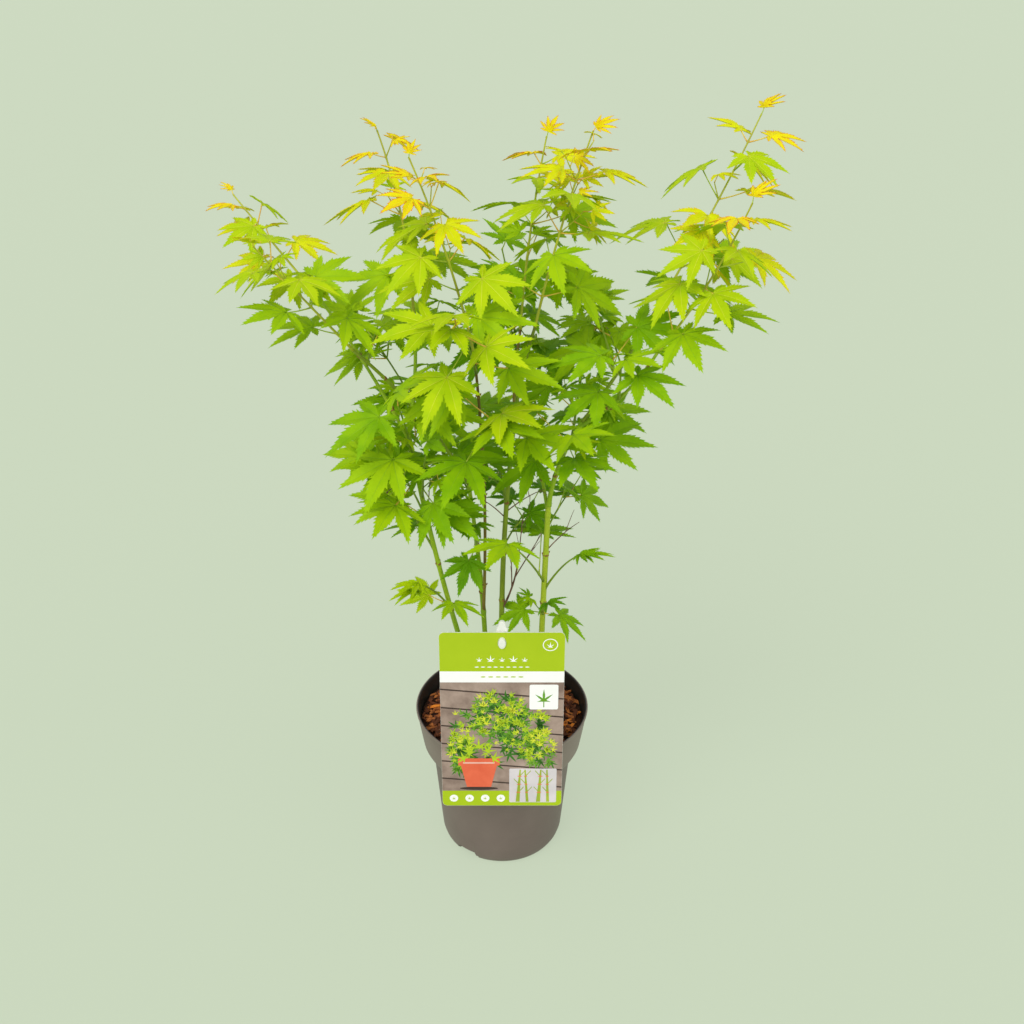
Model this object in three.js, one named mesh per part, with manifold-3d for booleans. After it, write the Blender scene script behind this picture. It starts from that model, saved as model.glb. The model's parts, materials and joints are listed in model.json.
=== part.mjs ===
// A young Japanese maple with several green stems, growing in a plastic nursery pot of bark mulch,
// with a hang card on a peg in front. Millimetres, +Z up, origin at the middle of the pot's underside.
import * as THREE from 'three';
import { mergeVertices } from 'three/addons/utils/BufferGeometryUtils.js';
import Module from 'manifold-3d';

const wasm = await Module();
wasm.setup();

// Clearance between pieces that touch
const GAP = 0.3;

// Nursery pot: a straight cone below, a shoulder, and a wide collar above. It stands on a ring, cut by
// notches for the water, and on a round pad in the middle of its floor.
const POT = {
  height: 140, wall: 1.6, sides: 30,
  rimRadius: 75, collarFootRadius: 70, collarFootHeight: 108,
  waistRadius: 61, waistHeight: 90, bellyFootRadius: 54.4, bellyFootHeight: 10,
  footRadius: 49, footRingWidth: 7, recess: 9, floorThickness: 1.8, padRadius: 12,
  footBulge: 0.7, notches: 3, notchWidth: 22, notchHeight: 10.5, firstNotch: -127,
  drainHoles: 4, drainRadius: 4.5, drainSides: 6, drainCircle: 33, shoulderSteps: 3,
};

// Potting mix: its top is flat where the stems stand, and rough with bark towards the wall
const MIX = { top: 127, flatRadius: 44, roughness: 3.2, seed: 90 };

// Hang card and its peg
const CARD = {
  width: 99, height: 164, thickness: 0.8, corner: 4, foot: 95, lean: 5.5,
  holeWidth: 6.4, holeHeight: 10, holeBelowTop: 9.5, steps: 4,
};
const PEG = {
  width: 8.5, headWidth: 6, thickness: 2.2, inMix: 25, aboveCard: 9, behindCard: 0.9,
  neckBelowTop: 8, neckTop: 4, tabWidth: 3.4, tabHeight: 5, tabOut: 2.4, tabRoot: 0.8, roundSteps: 6,
};

// How finely round limbs are faceted
const LIMB = { sides: 6, step: 30, crowding: 1.5, flare: 0.9, flareHeight: 9 };
const TWIG = { sides: 4, step: 38, sideTwig: 1.5, sideTwigSides: 3, sideTwigSteps: 2 };

// Leaf outline: lobes round the end of the leaf stalk, lengths as shares of the middle lobe
const LOBE_ANGLES = [-132, -82, -40, 0, 40, 82, 132];
const LOBE_LENGTHS = [0.36, 0.7, 0.93, 1, 0.93, 0.7, 0.36];
const LEAF = {
  notch: 0.36, plainNotch: 0.403, shoulderAt: 0.52, shoulderHalf: 0.135, shouldersFrom: 0.5,
  thickness: 0.034, leastThickness: 1, curl: 0.16, largeFrom: 47, smallTo: 31,
};
const STALK = { width: 1.2, depth: 1.1, joint: 0.07, sleeve: 1 };
const SLEEVE = { leafScale: 1.04, leafThickness: 1.4, limb: 0.8, stalkFrom: 0.3 };

// Stems and boughs: what each grows on and how far along, its tip, the bend of its middle, its diameters
const LIMBS = [
  { name: 'stem_left', foot: [-13, -6], tip: [-71, -14, 406],
    bend: [-10, 1, -2], from: 4.8, to: 3.4 },
  { name: 'stem_left_centre', foot: [-13, 10], tip: [-27, 14, 349],
    bend: [7, 0, 1], from: 4.6, to: 3.4 },
  { name: 'stem_centre', foot: [1, 0], tip: [10, 0, 413],
    bend: [-10, 0, 0], from: 5.4, to: 3.2 },
  { name: 'stem_right', foot: [33, -2], tip: [37, -4, 338],
    bend: [-2, 0, 0], from: 5.8, to: 4.2 },
  { name: 'bough_left', on: 'stem_left_centre', at: 1, tip: [-108, -20, 474],
    bend: [10, 4, 6], from: 3.2, to: 2.4 },
  { name: 'bough_left_top', on: 'stem_left', at: 1, tip: [-65, 2, 494],
    bend: [6, 0, 0], from: 3, to: 2.4 },
  { name: 'bough_left_back', on: 'stem_left', at: 0.97, tip: [-138, 25, 500],
    bend: [4, 0, 4], from: 2.8, to: 2.1 },
  { name: 'bough_thin', on: 'stem_left_centre', at: 0.45, tip: [-20, -25, 472],
    bend: [8, -2, 4], from: 2.8, to: 2.1 },
  { name: 'bough_centre_front', on: 'stem_centre', at: 1, tip: [24, -10, 488],
    bend: [-4, -2, 0], from: 2.9, to: 2.3 },
  { name: 'bough_centre_back', on: 'stem_centre', at: 0.97, tip: [14, 26, 474],
    bend: [-3, 6, 0], from: 2.8, to: 2.2 },
  { name: 'bough_right', on: 'stem_right', at: 1, tip: [61, -10, 413],
    bend: [-8, 0, 3], from: 3.8, to: 3.2 },
  { name: 'bough_right_inner', on: 'stem_right', at: 0.96, tip: [12, 32, 414],
    bend: [6, -4, 6], from: 3, to: 2.4 },
  { name: 'bough_right_back', on: 'bough_right', at: 1, tip: [107, 15, 479],
    bend: [3, 0, -2], from: 3, to: 2.3 },
  { name: 'bough_right_front', on: 'bough_right', at: 0.94, tip: [112, -27, 475],
    bend: [8, -4, -6], from: 2.9, to: 2.3 },
];

// Sprays of foliage: the limb and share they grow from, the shoot's tip and bend, its pairs of leaves,
// the middle-lobe length of the lowest and the last leaves, and how many side twigs it has
const SPRAYS = [
  { name: 'spray_right_back_top', on: 'bough_right_back', at: 1, tip: [186, 50, 627], bend: [4, -2, -3],
    pairs: 7, leaf: 44, last: 23, twigs: 1, seed: 150 },
  { name: 'spray_right_front_top', on: 'bough_right_front', at: 1, tip: [162, -60, 589], bend: [6, 0, -6],
    pairs: 7, leaf: 40, last: 22, twigs: 1, seed: 787 },
  { name: 'spray_left_tip', on: 'bough_left_back', at: 1, tip: [-199, 50, 570], bend: [-2, 0, 2],
    pairs: 6, leaf: 34, last: 13, twigs: 0, seed: 491 },
  { name: 'spray_left', on: 'bough_left', at: 1, tip: [-166, -50, 558], bend: [-3, 0, 3],
    pairs: 5, leaf: 38, last: 22, twigs: 1, seed: 777 },
  { name: 'spray_left_top', on: 'bough_left_top', at: 1, tip: [-87, 20, 621], bend: [10, 0, 3],
    pairs: 6, leaf: 42, last: 13, twigs: 1, seed: 64 },
  { name: 'spray_centre_left_top', on: 'bough_thin', at: 1, tip: [-60, -50, 616], bend: [6, 0, 4],
    pairs: 7, leaf: 40, last: 14, twigs: 1, seed: 859 },
  { name: 'spray_centre_top', on: 'bough_centre_front', at: 1, tip: [62, 0, 624], bend: [-4, -4, 4],
    pairs: 7, leaf: 42, last: 18, twigs: 1, seed: 28 },
  { name: 'spray_centre_back_top', on: 'bough_centre_back', at: 1, tip: [32, 42, 613], bend: [-4, 4, 4],
    pairs: 6, leaf: 42, last: 20, twigs: 1, seed: 321 },
  { name: 'spray_left_front', on: 'stem_left', at: 0.92, tip: [-74, -54, 445], bend: [0, -4, 10],
    pairs: 3, leaf: 50, last: 42, twigs: 0, seed: 588 },
  { name: 'spray_left_low', on: 'stem_left', at: 0.7, tip: [-78, -33, 383], bend: [0, 0, 12],
    pairs: 3, leaf: 44, last: 40, twigs: 0, seed: 275 },
  { name: 'spray_left_middle', on: 'stem_left', at: 0.62, tip: [-106, 26, 363], bend: [0, 0, 12],
    pairs: 2, leaf: 36, last: 34, twigs: 0, seed: 510 },
  { name: 'spray_left_foot', on: 'stem_left', at: 0.42, tip: [-65, -38, 285], bend: [0, 0, 10],
    pairs: 2, leaf: 32, last: 30, twigs: 0, seed: 538 },
  { name: 'spray_left_inner', on: 'stem_left', at: 0.8, tip: [-55, -49, 408], bend: [0, -6, 10],
    pairs: 3, leaf: 42, last: 40, twigs: 0, seed: 857 },
  { name: 'spray_centre_foot', on: 'stem_left_centre', at: 0.72, tip: [-22, -13, 321], bend: [0, -4, 8],
    pairs: 2, leaf: 32, last: 29, twigs: 0, seed: 879 },
  { name: 'spray_centre_front', on: 'bough_thin', at: 0.72, tip: [-4, -67, 442], bend: [0, -6, 12],
    pairs: 3, leaf: 50, last: 46, twigs: 0, seed: 192 },
  { name: 'spray_centre_upper', on: 'bough_thin', at: 0.94, tip: [-30, -90, 517], bend: [0, -6, 12],
    pairs: 4, leaf: 44, last: 38, twigs: 0, seed: 412 },
  { name: 'spray_right_low', on: 'stem_right', at: 0.66, tip: [6, -55, 331], bend: [0, -4, 10],
    pairs: 2, leaf: 44, last: 42, twigs: 0, seed: 926 },
  { name: 'spray_right_side', on: 'stem_right', at: 0.62, tip: [60, -17, 299], bend: [0, 2, 8],
    pairs: 1, leaf: 28, last: 26, twigs: 0, seed: 753 },
  { name: 'spray_right_foot', on: 'stem_right', at: 0.5, tip: [34, -20, 257], bend: [0, 0, 5],
    pairs: 2, leaf: 31, last: 28, twigs: 0, seed: 265 },
  { name: 'spray_right_middle', on: 'bough_right', at: 0.6, tip: [47, -66, 426], bend: [0, -4, 8],
    pairs: 3, leaf: 44, last: 42, twigs: 0, seed: 63 },
  { name: 'spray_right_outer', on: 'bough_right_front', at: 0.45, tip: [84, -47, 473], bend: [0, -4, 6],
    pairs: 3, leaf: 41, last: 34, twigs: 0, seed: 342 },
  { name: 'spray_right_upper', on: 'bough_right_back', at: 0.5, tip: [66, 11, 503], bend: [0, 0, 8],
    pairs: 2, leaf: 46, last: 46, twigs: 0, seed: 778 },
  { name: 'spray_back_centre', on: 'bough_right_inner', at: 1, tip: [0, 84, 520], bend: [6, 8, 8],
    pairs: 3, leaf: 44, last: 34, twigs: 1, seed: 164 },
  { name: 'spray_back_left', on: 'stem_left_centre', at: 0.9, tip: [-115, 76, 467], bend: [0, 6, 12],
    pairs: 4, leaf: 42, last: 36, twigs: 0, seed: 444 },
  { name: 'spray_back_right', on: 'bough_right', at: 0.8, tip: [75, 82, 477], bend: [0, 6, 12],
    pairs: 3, leaf: 42, last: 32, twigs: 1, seed: 176 },
  { name: 'spray_back_low', on: 'stem_centre', at: 0.72, tip: [-10, 76, 383], bend: [0, 4, 10],
    pairs: 2, leaf: 40, last: 37, twigs: 0, seed: 325 },
];

// The dead shoot low on the middle stem: a bare spray of thin twigs, fanned by the same seeded numbers
const BARE = {
  name: 'dead_shoot', on: 'stem_centre', at: 0.385, tip: [14, -9, 296], bend: [4, -2, -3],
  twigs: 3, twigFrom: 0.45, twigLength: 46, twigOpen: 17, twigWidth: 1.1, twigSides: 3,
  from: 1.9, to: 1.1, steps: 2, seed: 6,
};

// Growth rule of a spray
const GROWTH = {
  firstLeaf: 0.16, nodeCrowding: 0.86, turn: 90, turnJitter: 26, leafOpen: 62, tipOpen: 30, openJitter: 16,
  stalk: 0.6, stalkJitter: 0.18, tipStalk: 0.35, sizeHold: 3, droop: 17, droopJitter: 20, roll: 24, tries: 6,
  tipSharpness: 6,
  shootFrom: 2.1, shootTo: 1.1, twigFrom: 0.3, twigTo: 0.6, twigLength: 42, twigRise: 0.35, twigLeaf: 0.8,
  lowestLeaf: 215, twigTurn: 0.25, twigSag: 0.1,
};
// Where the seeded numbers of side twigs and of their leaves are kept, apart from those of the pairs
const TWIG_PLACE = 900;
const TWIG_LEAF_PLACE = 50;
// Above these heights a spray is dressed in its middle or its top leaf colour
const LOOK_HEIGHTS = { middle: 430, top: 530 };
// Leaves turn their faces up and a little to the sunny front
const LIGHT = new THREE.Vector3(0, -0.3, 1).normalize();

const UP = new THREE.Vector3(0, 0, 1);
const ALONG_X = new THREE.Vector3(1, 0, 0);
const ALONG_Y = new THREE.Vector3(0, 1, 0);

const COLOURS = {
  pot: { color: 0x6e665c, roughness: 0.62, metalness: 0 },
  mix: { color: 0x3b261a, roughness: 0.95, metalness: 0 },
  card: { color: 0xacc626, roughness: 0.35, metalness: 0 },
  peg: { color: 0xf2f2ec, roughness: 0.45, metalness: 0 },
  stem: { color: 0x83993c, roughness: 0.6, metalness: 0 },
  deadTwig: { color: 0x7a5a3c, roughness: 0.8, metalness: 0 },
  leafLow: { color: 0x5c9c14, roughness: 0.55, metalness: 0 },
  leafMiddle: { color: 0x86b81a, roughness: 0.55, metalness: 0 },
  leafTop: { color: 0xc3d022, roughness: 0.55, metalness: 0 },
};

const maple = new THREE.Group();

// A seeded number from 0 to 1 for one draw at one place on the plant.
function chance(seed, place, draw) {
  let hash = (seed * 7919 + place * 10473 + draw * 1543 + 17) >>> 0;
  hash = Math.imul(hash ^ (hash >>> 15), 0x85ebca6b);
  hash = Math.imul(hash ^ (hash >>> 13), 0xc2b2ae35);
  return ((hash ^ (hash >>> 16)) >>> 0) / 4294967296;
}

function radians(degrees) {
  return THREE.MathUtils.degToRad(degrees);
}

// A closed geometry as a solid that can be joined and cut.
function toSolid(geometry) {
  const bare = geometry.clone();
  bare.deleteAttribute('normal');
  bare.deleteAttribute('uv');
  const merged = mergeVertices(bare, 1e-4);
  const faces = [];
  for (let i = 0; i < merged.index.count; i += 3) {
    const face = [merged.index.getX(i), merged.index.getX(i + 1), merged.index.getX(i + 2)];
    if (new Set(face).size === 3) faces.push(...face);
  }
  return new wasm.Manifold(new wasm.Mesh({
    numProp: 3,
    vertProperties: new Float32Array(merged.getAttribute('position').array),
    triVerts: new Uint32Array(faces),
  }));
}

// The largest closed body of a solid, so that a loose scrap of a cut is dropped.
function largestBody(solid) {
  return solid.decompose().reduce((best, body) => (body.volume() > best.volume() ? body : best));
}

function addPiece(name, solid, look) {
  const mesh = solid.getMesh();
  const geometry = new THREE.BufferGeometry();
  geometry.setAttribute('position', new THREE.BufferAttribute(new Float32Array(mesh.vertProperties), 3));
  geometry.setIndex(new THREE.BufferAttribute(new Uint32Array(mesh.triVerts), 1));
  geometry.computeVertexNormals();
  const piece = new THREE.Mesh(geometry, new THREE.MeshStandardMaterial(look));
  piece.name = name;
  maple.add(piece);
}

// Pot
function potOutside() {
  const shoulder = [];
  for (let i = 0; i <= POT.shoulderSteps; i++) {
    const share = i / POT.shoulderSteps;
    shoulder.push(new THREE.Vector2(
      THREE.MathUtils.lerp(POT.waistRadius, POT.collarFootRadius, THREE.MathUtils.smoothstep(share, 0, 1)),
      THREE.MathUtils.lerp(POT.waistHeight, POT.collarFootHeight, share),
    ));
  }
  return [
    new THREE.Vector2(POT.footRadius, 0),
    new THREE.Vector2((POT.footRadius + POT.bellyFootRadius) / 2 + POT.footBulge, POT.bellyFootHeight / 4),
    new THREE.Vector2(POT.bellyFootRadius, POT.bellyFootHeight),
    ...shoulder,
    new THREE.Vector2(POT.rimRadius, POT.height),
  ];
}

// The wall's inner face up to a height, drawn in by a distance from the outside.
function potInside(inset, floor, top) {
  const points = [];
  for (const point of potOutside()) {
    if (point.y > floor && point.y < top) points.push(new THREE.Vector2(point.x - inset, point.y));
  }
  return [
    new THREE.Vector2(radiusOfPot(floor) - inset, floor),
    ...points,
    new THREE.Vector2(radiusOfPot(top) - inset, top),
  ];
}

function radiusOfPot(height) {
  const points = potOutside();
  for (let i = 1; i < points.length; i++) {
    if (height <= points[i].y) {
      const share = (height - points[i - 1].y) / (points[i].y - points[i - 1].y);
      return THREE.MathUtils.lerp(points[i - 1].x, points[i].x, share);
    }
  }
  return POT.rimRadius;
}

function turned(points, sides) {
  const lathe = new THREE.LatheGeometry(points, sides);
  lathe.rotateX(Math.PI / 2);
  return toSolid(lathe);
}

const potFloor = POT.recess + POT.floorThickness;
function makePot() {
  const ringInside = POT.footRadius - POT.footRingWidth;
  let pot = turned([
    new THREE.Vector2(0, 0),
    new THREE.Vector2(POT.padRadius, 0),
    new THREE.Vector2(POT.padRadius, POT.recess),
    new THREE.Vector2(ringInside, POT.recess),
    new THREE.Vector2(ringInside, 0),
    ...potOutside(),
    ...potInside(POT.wall, potFloor, POT.height).reverse(),
    new THREE.Vector2(0, potFloor),
  ], POT.sides);
  for (let i = 0; i < POT.notches; i++) {
    const notch = new THREE.BoxGeometry(POT.footRingWidth * 3, POT.notchWidth, POT.notchHeight * 2);
    notch.translate(POT.footRadius, 0, 0);
    notch.rotateZ(radians(POT.firstNotch + (360 / POT.notches) * i));
    const belowFloor = new THREE.BoxGeometry(POT.height, POT.height, POT.notchHeight * 2);
    belowFloor.translate(0, 0, POT.recess - POT.notchHeight);
    pot = pot.subtract(toSolid(notch).intersect(toSolid(belowFloor)));
  }
  for (let i = 0; i < POT.drainHoles; i++) {
    const hole = new THREE.CylinderGeometry(POT.drainRadius, POT.drainRadius, potFloor * 4, POT.drainSides);
    hole.rotateX(Math.PI / 2);
    hole.translate(POT.drainCircle, 0, 0);
    hole.rotateZ(radians((360 / POT.drainHoles) * (i + 0.5)));
    pot = pot.subtract(toSolid(hole));
  }
  return pot;
}

// Peg: a flat stake with a tab through the card's hole and a round head above the card
const cardLean = radians(CARD.lean);
const rimTouch = -POT.rimRadius - GAP - CARD.thickness / Math.cos(cardLean);
const cardHole = { up: CARD.height - CARD.holeBelowTop };
cardHole.z = CARD.foot + cardHole.up * Math.cos(cardLean);
cardHole.y = rimTouch - (POT.height - CARD.foot) * Math.tan(cardLean) + cardHole.up * Math.sin(cardLean);
const cardTop = CARD.foot + CARD.height * Math.cos(cardLean);
const cardTopBack = cardHole.y + CARD.thickness + CARD.holeBelowTop * Math.sin(cardLean);
const pegFront = cardTopBack + PEG.behindCard;

function makePeg(grow) {
  const half = PEG.width / 2 + grow;
  const headHalf = PEG.headWidth / 2 + grow;
  const outline = new THREE.Shape();
  outline.moveTo(0, MIX.top - PEG.inMix - grow);
  outline.lineTo(half, MIX.top - PEG.inMix + PEG.width);
  outline.lineTo(half, cardTop - PEG.neckBelowTop);
  outline.lineTo(headHalf, cardTop - PEG.neckTop);
  outline.lineTo(headHalf, cardTop + PEG.aboveCard - headHalf);
  outline.absarc(0, cardTop + PEG.aboveCard - headHalf, headHalf, 0, Math.PI, false);
  outline.lineTo(-headHalf, cardTop - PEG.neckTop);
  outline.lineTo(-half, cardTop - PEG.neckBelowTop);
  outline.lineTo(-half, MIX.top - PEG.inMix + PEG.width);
  const stake = new THREE.ExtrudeGeometry(outline, {
    depth: PEG.thickness + 2 * grow, bevelEnabled: false, curveSegments: PEG.roundSteps,
  });
  stake.rotateX(Math.PI / 2);
  stake.translate(0, pegFront + PEG.thickness + grow, 0);
  const tabLength = pegFront - cardHole.y + PEG.tabOut;
  const tab = new THREE.BoxGeometry(PEG.tabWidth, tabLength, PEG.tabHeight);
  const tabShare = (PEG.tabWidth / 2 + GAP) / (CARD.holeWidth / 2);
  const tabTop = cardHole.z + (CARD.holeHeight / 2) * Math.sqrt(1 - tabShare * tabShare) - 2 * GAP;
  tab.translate(0, pegFront + PEG.tabRoot - tabLength / 2, tabTop - PEG.tabHeight / 2);
  return toSolid(stake).add(toSolid(tab));
}

// Card: a plate with round corners and an oval hole, leaning back on the rim
function makeCard() {
  const half = CARD.width / 2;
  const outline = new THREE.Shape();
  outline.absarc(half - CARD.corner, CARD.corner, CARD.corner, -Math.PI / 2, 0, false);
  outline.absarc(half - CARD.corner, CARD.height - CARD.corner, CARD.corner, 0, Math.PI / 2, false);
  outline.absarc(CARD.corner - half, CARD.height - CARD.corner, CARD.corner, Math.PI / 2, Math.PI, false);
  outline.absarc(CARD.corner - half, CARD.corner, CARD.corner, Math.PI, Math.PI * 1.5, false);
  const hole = new THREE.Path();
  hole.absellipse(0, cardHole.up, CARD.holeWidth / 2, CARD.holeHeight / 2, 0, Math.PI * 2, true);
  outline.holes.push(hole);
  const plate = new THREE.ExtrudeGeometry(outline, {
    depth: CARD.thickness, bevelEnabled: false, curveSegments: CARD.steps,
  });
  plate.rotateX(Math.PI / 2);
  plate.translate(0, CARD.thickness, 0);
  plate.rotateX(-cardLean);
  plate.translate(0, rimTouch - (POT.height - CARD.foot) * Math.tan(cardLean), CARD.foot);
  return toSolid(plate);
}

// Potting mix: fills the pot a gap clear of wall and floor, with the peg's slot cut in it
function makeMix() {
  const wallRadius = radiusOfPot(MIX.top - MIX.roughness) - POT.wall - GAP;
  const filling = new THREE.LatheGeometry([
    new THREE.Vector2(0, potFloor + GAP),
    ...potInside(POT.wall + GAP, potFloor + GAP, MIX.top - MIX.roughness),
    new THREE.Vector2(wallRadius, MIX.top),
    new THREE.Vector2(MIX.flatRadius, MIX.top),
    new THREE.Vector2(0, MIX.top),
  ], POT.sides);
  filling.rotateX(Math.PI / 2);
  const spots = filling.getAttribute('position');
  for (let i = 0; i < spots.count; i++) {
    const radius = Math.hypot(spots.getX(i), spots.getY(i));
    if (spots.getZ(i) === MIX.top && radius > (MIX.flatRadius + wallRadius) / 2) {
      const sector = Math.round((Math.atan2(spots.getX(i), -spots.getY(i)) / (2 * Math.PI)) * POT.sides);
      spots.setZ(i, MIX.top - chance(MIX.seed, (sector + POT.sides) % POT.sides, 1) * MIX.roughness);
    }
  }
  return toSolid(filling).subtract(makePeg(GAP));
}

// A curve with its middle bent aside by a vector.
function bentCurve(from, to, bend) {
  const middle = from.clone().add(to).multiplyScalar(0.5).add(bend);
  return new THREE.QuadraticBezierCurve3(from, middle, to);
}

// A round tapering limb: a cylinder whose rings are carried along a curve.
function limbAlong(curve, radiusAt, sides, steps, { crowding = 1, flatFoot = false } = {}) {
  const limb = new THREE.CylinderGeometry(1, 1, 1, sides, steps);
  const chord = curve.getPoint(1).sub(curve.getPoint(0)).normalize();
  const reference = Math.abs(chord.y) < 0.7 ? ALONG_Y : ALONG_X;
  const spots = limb.getAttribute('position');
  for (let i = 0; i < spots.count; i++) {
    const share = Math.pow(spots.getY(i) + 0.5, crowding);
    const along = flatFoot && share === 0 ? UP : curve.getTangent(share);
    const side = new THREE.Vector3().crossVectors(along, reference).normalize();
    const front = new THREE.Vector3().crossVectors(side, along);
    const spot = curve.getPoint(share);
    spot.addScaledVector(side, spots.getX(i) * radiusAt(share));
    spot.addScaledVector(front, spots.getZ(i) * radiusAt(share));
    spots.setXYZ(i, spot.x, spot.y, spot.z);
  }
  return limb;
}

// A curve made longer at both ends, along its end directions.
function lengthened(curve, extra) {
  const start = curve.getPoint(0).addScaledVector(curve.getTangent(0), -extra);
  const end = curve.getPoint(1).addScaledVector(curve.getTangent(1), extra);
  return curve.v1
    ? new THREE.QuadraticBezierCurve3(start, curve.v1.clone(), end)
    : new THREE.LineCurve3(start, end);
}

// What stands in the way of new growth: name, solid and box of each piece so far
const growth = [];
const TOUCH_VOLUME = 1e-3;
function stands(name, solid) {
  growth.push({ name, solid, box: solid.boundingBox() });
}

function apart(a, b) {
  return [0, 1, 2].some((axis) => a.min[axis] > b.max[axis] || b.min[axis] > a.max[axis]);
}

// True when a solid touches anything that stands, other than pieces of the names given.
function touches(solid, except) {
  const box = solid.boundingBox();
  return growth.some((piece) => !except.includes(piece.name) && !apart(box, piece.box)
    && solid.intersect(piece.solid).volume() > TOUCH_VOLUME);
}

// Limbs
const limbs = {};
function makeLimb(row) {
  const parent = row.on ? limbs[row.on] : null;
  const from = parent ? parent.curve.getPoint(row.at) : new THREE.Vector3(...row.foot, MIX.top + GAP);
  const curve = bentCurve(from, new THREE.Vector3(...row.tip), new THREE.Vector3(...row.bend));
  const length = curve.getLength();
  const flare = parent ? 0 : LIMB.flare;
  const radiusAt = (grow) => (share) => {
    const plain = THREE.MathUtils.lerp(row.from, row.to, share) / 2;
    return plain * (1 + flare * Math.exp((-share * length) / LIMB.flareHeight)) + grow;
  };
  const steps = Math.ceil(length / LIMB.step);
  const options = { crowding: parent ? 1 : LIMB.crowding, flatFoot: !parent };
  let solid = toSolid(limbAlong(curve, radiusAt(0), LIMB.sides, steps, options));
  if (parent) {
    solid = solid.subtract(parent.collar);
    for (const other of Object.values(limbs)) {
      if (other.row.on === row.on) solid = solid.subtract(other.collar);
    }
    solid = largestBody(solid);
  }
  const collar = toSolid(limbAlong(lengthened(curve, GAP), radiusAt(GAP), LIMB.sides, steps, options));
  const sleeve = toSolid(limbAlong(curve, radiusAt(SLEEVE.limb), LIMB.sides, steps, options));
  limbs[row.name] = { row, curve, collar, radiusAt: radiusAt(0) };
  stands(row.name, sleeve);
  addPiece(row.name, solid, COLOURS.stem);
}

// Leaf outline as forward and sideways shares of the middle lobe, from one side of the stalk round to
// the other.
function leafOutline(lobes, lanceolate) {
  const points = [];
  lobes.forEach((lobe, i) => {
    const angle = radians(LOBE_ANGLES[lobe]);
    const length = LOBE_LENGTHS[lobe];
    const spot = (along, across) => [
      Math.cos(angle) * along - Math.sin(angle) * across,
      Math.sin(angle) * along + Math.cos(angle) * across,
    ];
    const wide = lanceolate && length > LEAF.shouldersFrom;
    if (wide) points.push(spot(LEAF.shoulderAt * length, -LEAF.shoulderHalf * length));
    points.push(spot(length, 0));
    if (wide) points.push(spot(LEAF.shoulderAt * length, LEAF.shoulderHalf * length));
    if (i + 1 < lobes.length) {
      const next = lobes[i + 1];
      const between = radians((LOBE_ANGLES[lobe] + LOBE_ANGLES[next]) / 2);
      const notch = (lanceolate ? LEAF.notch : LEAF.plainNotch) * (length + LOBE_LENGTHS[next]) / 2;
      points.push([Math.cos(between) * notch, Math.sin(between) * notch]);
    }
  });
  return points;
}
const LARGE_OUTLINE = leafOutline([0, 1, 2, 3, 4, 5, 6], true);
const MIDDLE_OUTLINE = leafOutline([0, 1, 2, 3, 4, 5, 6], false);
const SMALL_OUTLINE = leafOutline([1, 2, 3, 4, 5], false);

function outlineFor(length) {
  if (length >= LEAF.largeFrom) return LARGE_OUTLINE;
  return length > LEAF.smallTo ? MIDDLE_OUTLINE : SMALL_OUTLINE;
}

// A leaf on its stalk as one closed solid: two shallow fans over one outline, thickest in the middle,
// and a three-sided stalk that runs from their back into the shoot. It can be grown into a roomier sleeve.
function leafOnStalk(leaf, length, stalkFrom = 0, sleeve = false) {
  const outline = outlineFor(length);
  const reach = length * (sleeve ? SLEEVE.leafScale : 1);
  const thickness = Math.max(length * LEAF.thickness, LEAF.leastThickness);
  const half = (thickness + (sleeve ? SLEEVE.leafThickness : 0)) / 2;
  const extra = sleeve ? STALK.sleeve : 0;
  const spots = [];
  const faces = [];
  const add = (spot) => spots.push(spot.x, spot.y, spot.z) / 3 - 1;
  const onBlade = (forward, sideways, above) => leaf.origin.clone()
    .addScaledVector(leaf.forward, forward)
    .addScaledVector(leaf.sideways, sideways)
    .addScaledVector(leaf.face, above);
  const ring = outline.map(([forward, sideways]) => {
    const fall = LEAF.curl * reach * (forward * forward + sideways * sideways);
    return add(onBlade(forward * reach, sideways * reach, -fall));
  });
  const back = -STALK.joint * length;
  const wide = STALK.width / 2 + extra;
  const high = STALK.depth / 3 + extra / 2;
  const deep = (-STALK.depth * 2) / 3 - extra;
  const left = add(onBlade(back, wide, high));
  const right = add(onBlade(back, -wide, high));
  const low = add(onBlade(back, 0, deep));
  const start = leaf.node.clone().lerp(onBlade(back, 0, 0), stalkFrom);
  const way = onBlade(back, 0, 0).sub(leaf.node).normalize();
  const across = leaf.sideways.clone().addScaledVector(way, -leaf.sideways.dot(way)).normalize();
  const above = new THREE.Vector3().crossVectors(way, across);
  const atStart = (aside, up) => add(start.clone().addScaledVector(across, aside).addScaledVector(above, up));
  const startLeft = atStart(wide, high);
  const startRight = atStart(-wide, high);
  const startLow = atStart(0, deep);
  const top = add(onBlade(0, 0, half));
  const bottom = add(onBlade(0, 0, -half));
  const round = [...ring, left, right];
  round.forEach((spot, i) => {
    const next = round[(i + 1) % round.length];
    faces.push(top, spot, next);
    if (spot !== left) faces.push(bottom, next, spot);
  });
  faces.push(bottom, low, left, bottom, right, low);
  faces.push(left, startLeft, startRight, left, startRight, right);
  faces.push(right, startRight, startLow, right, startLow, low);
  faces.push(low, startLow, startLeft, low, startLeft, left);
  faces.push(startLeft, startLow, startRight);
  return new wasm.Manifold(new wasm.Mesh({
    numProp: 3, vertProperties: new Float32Array(spots), triVerts: new Uint32Array(faces),
  }));
}

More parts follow.
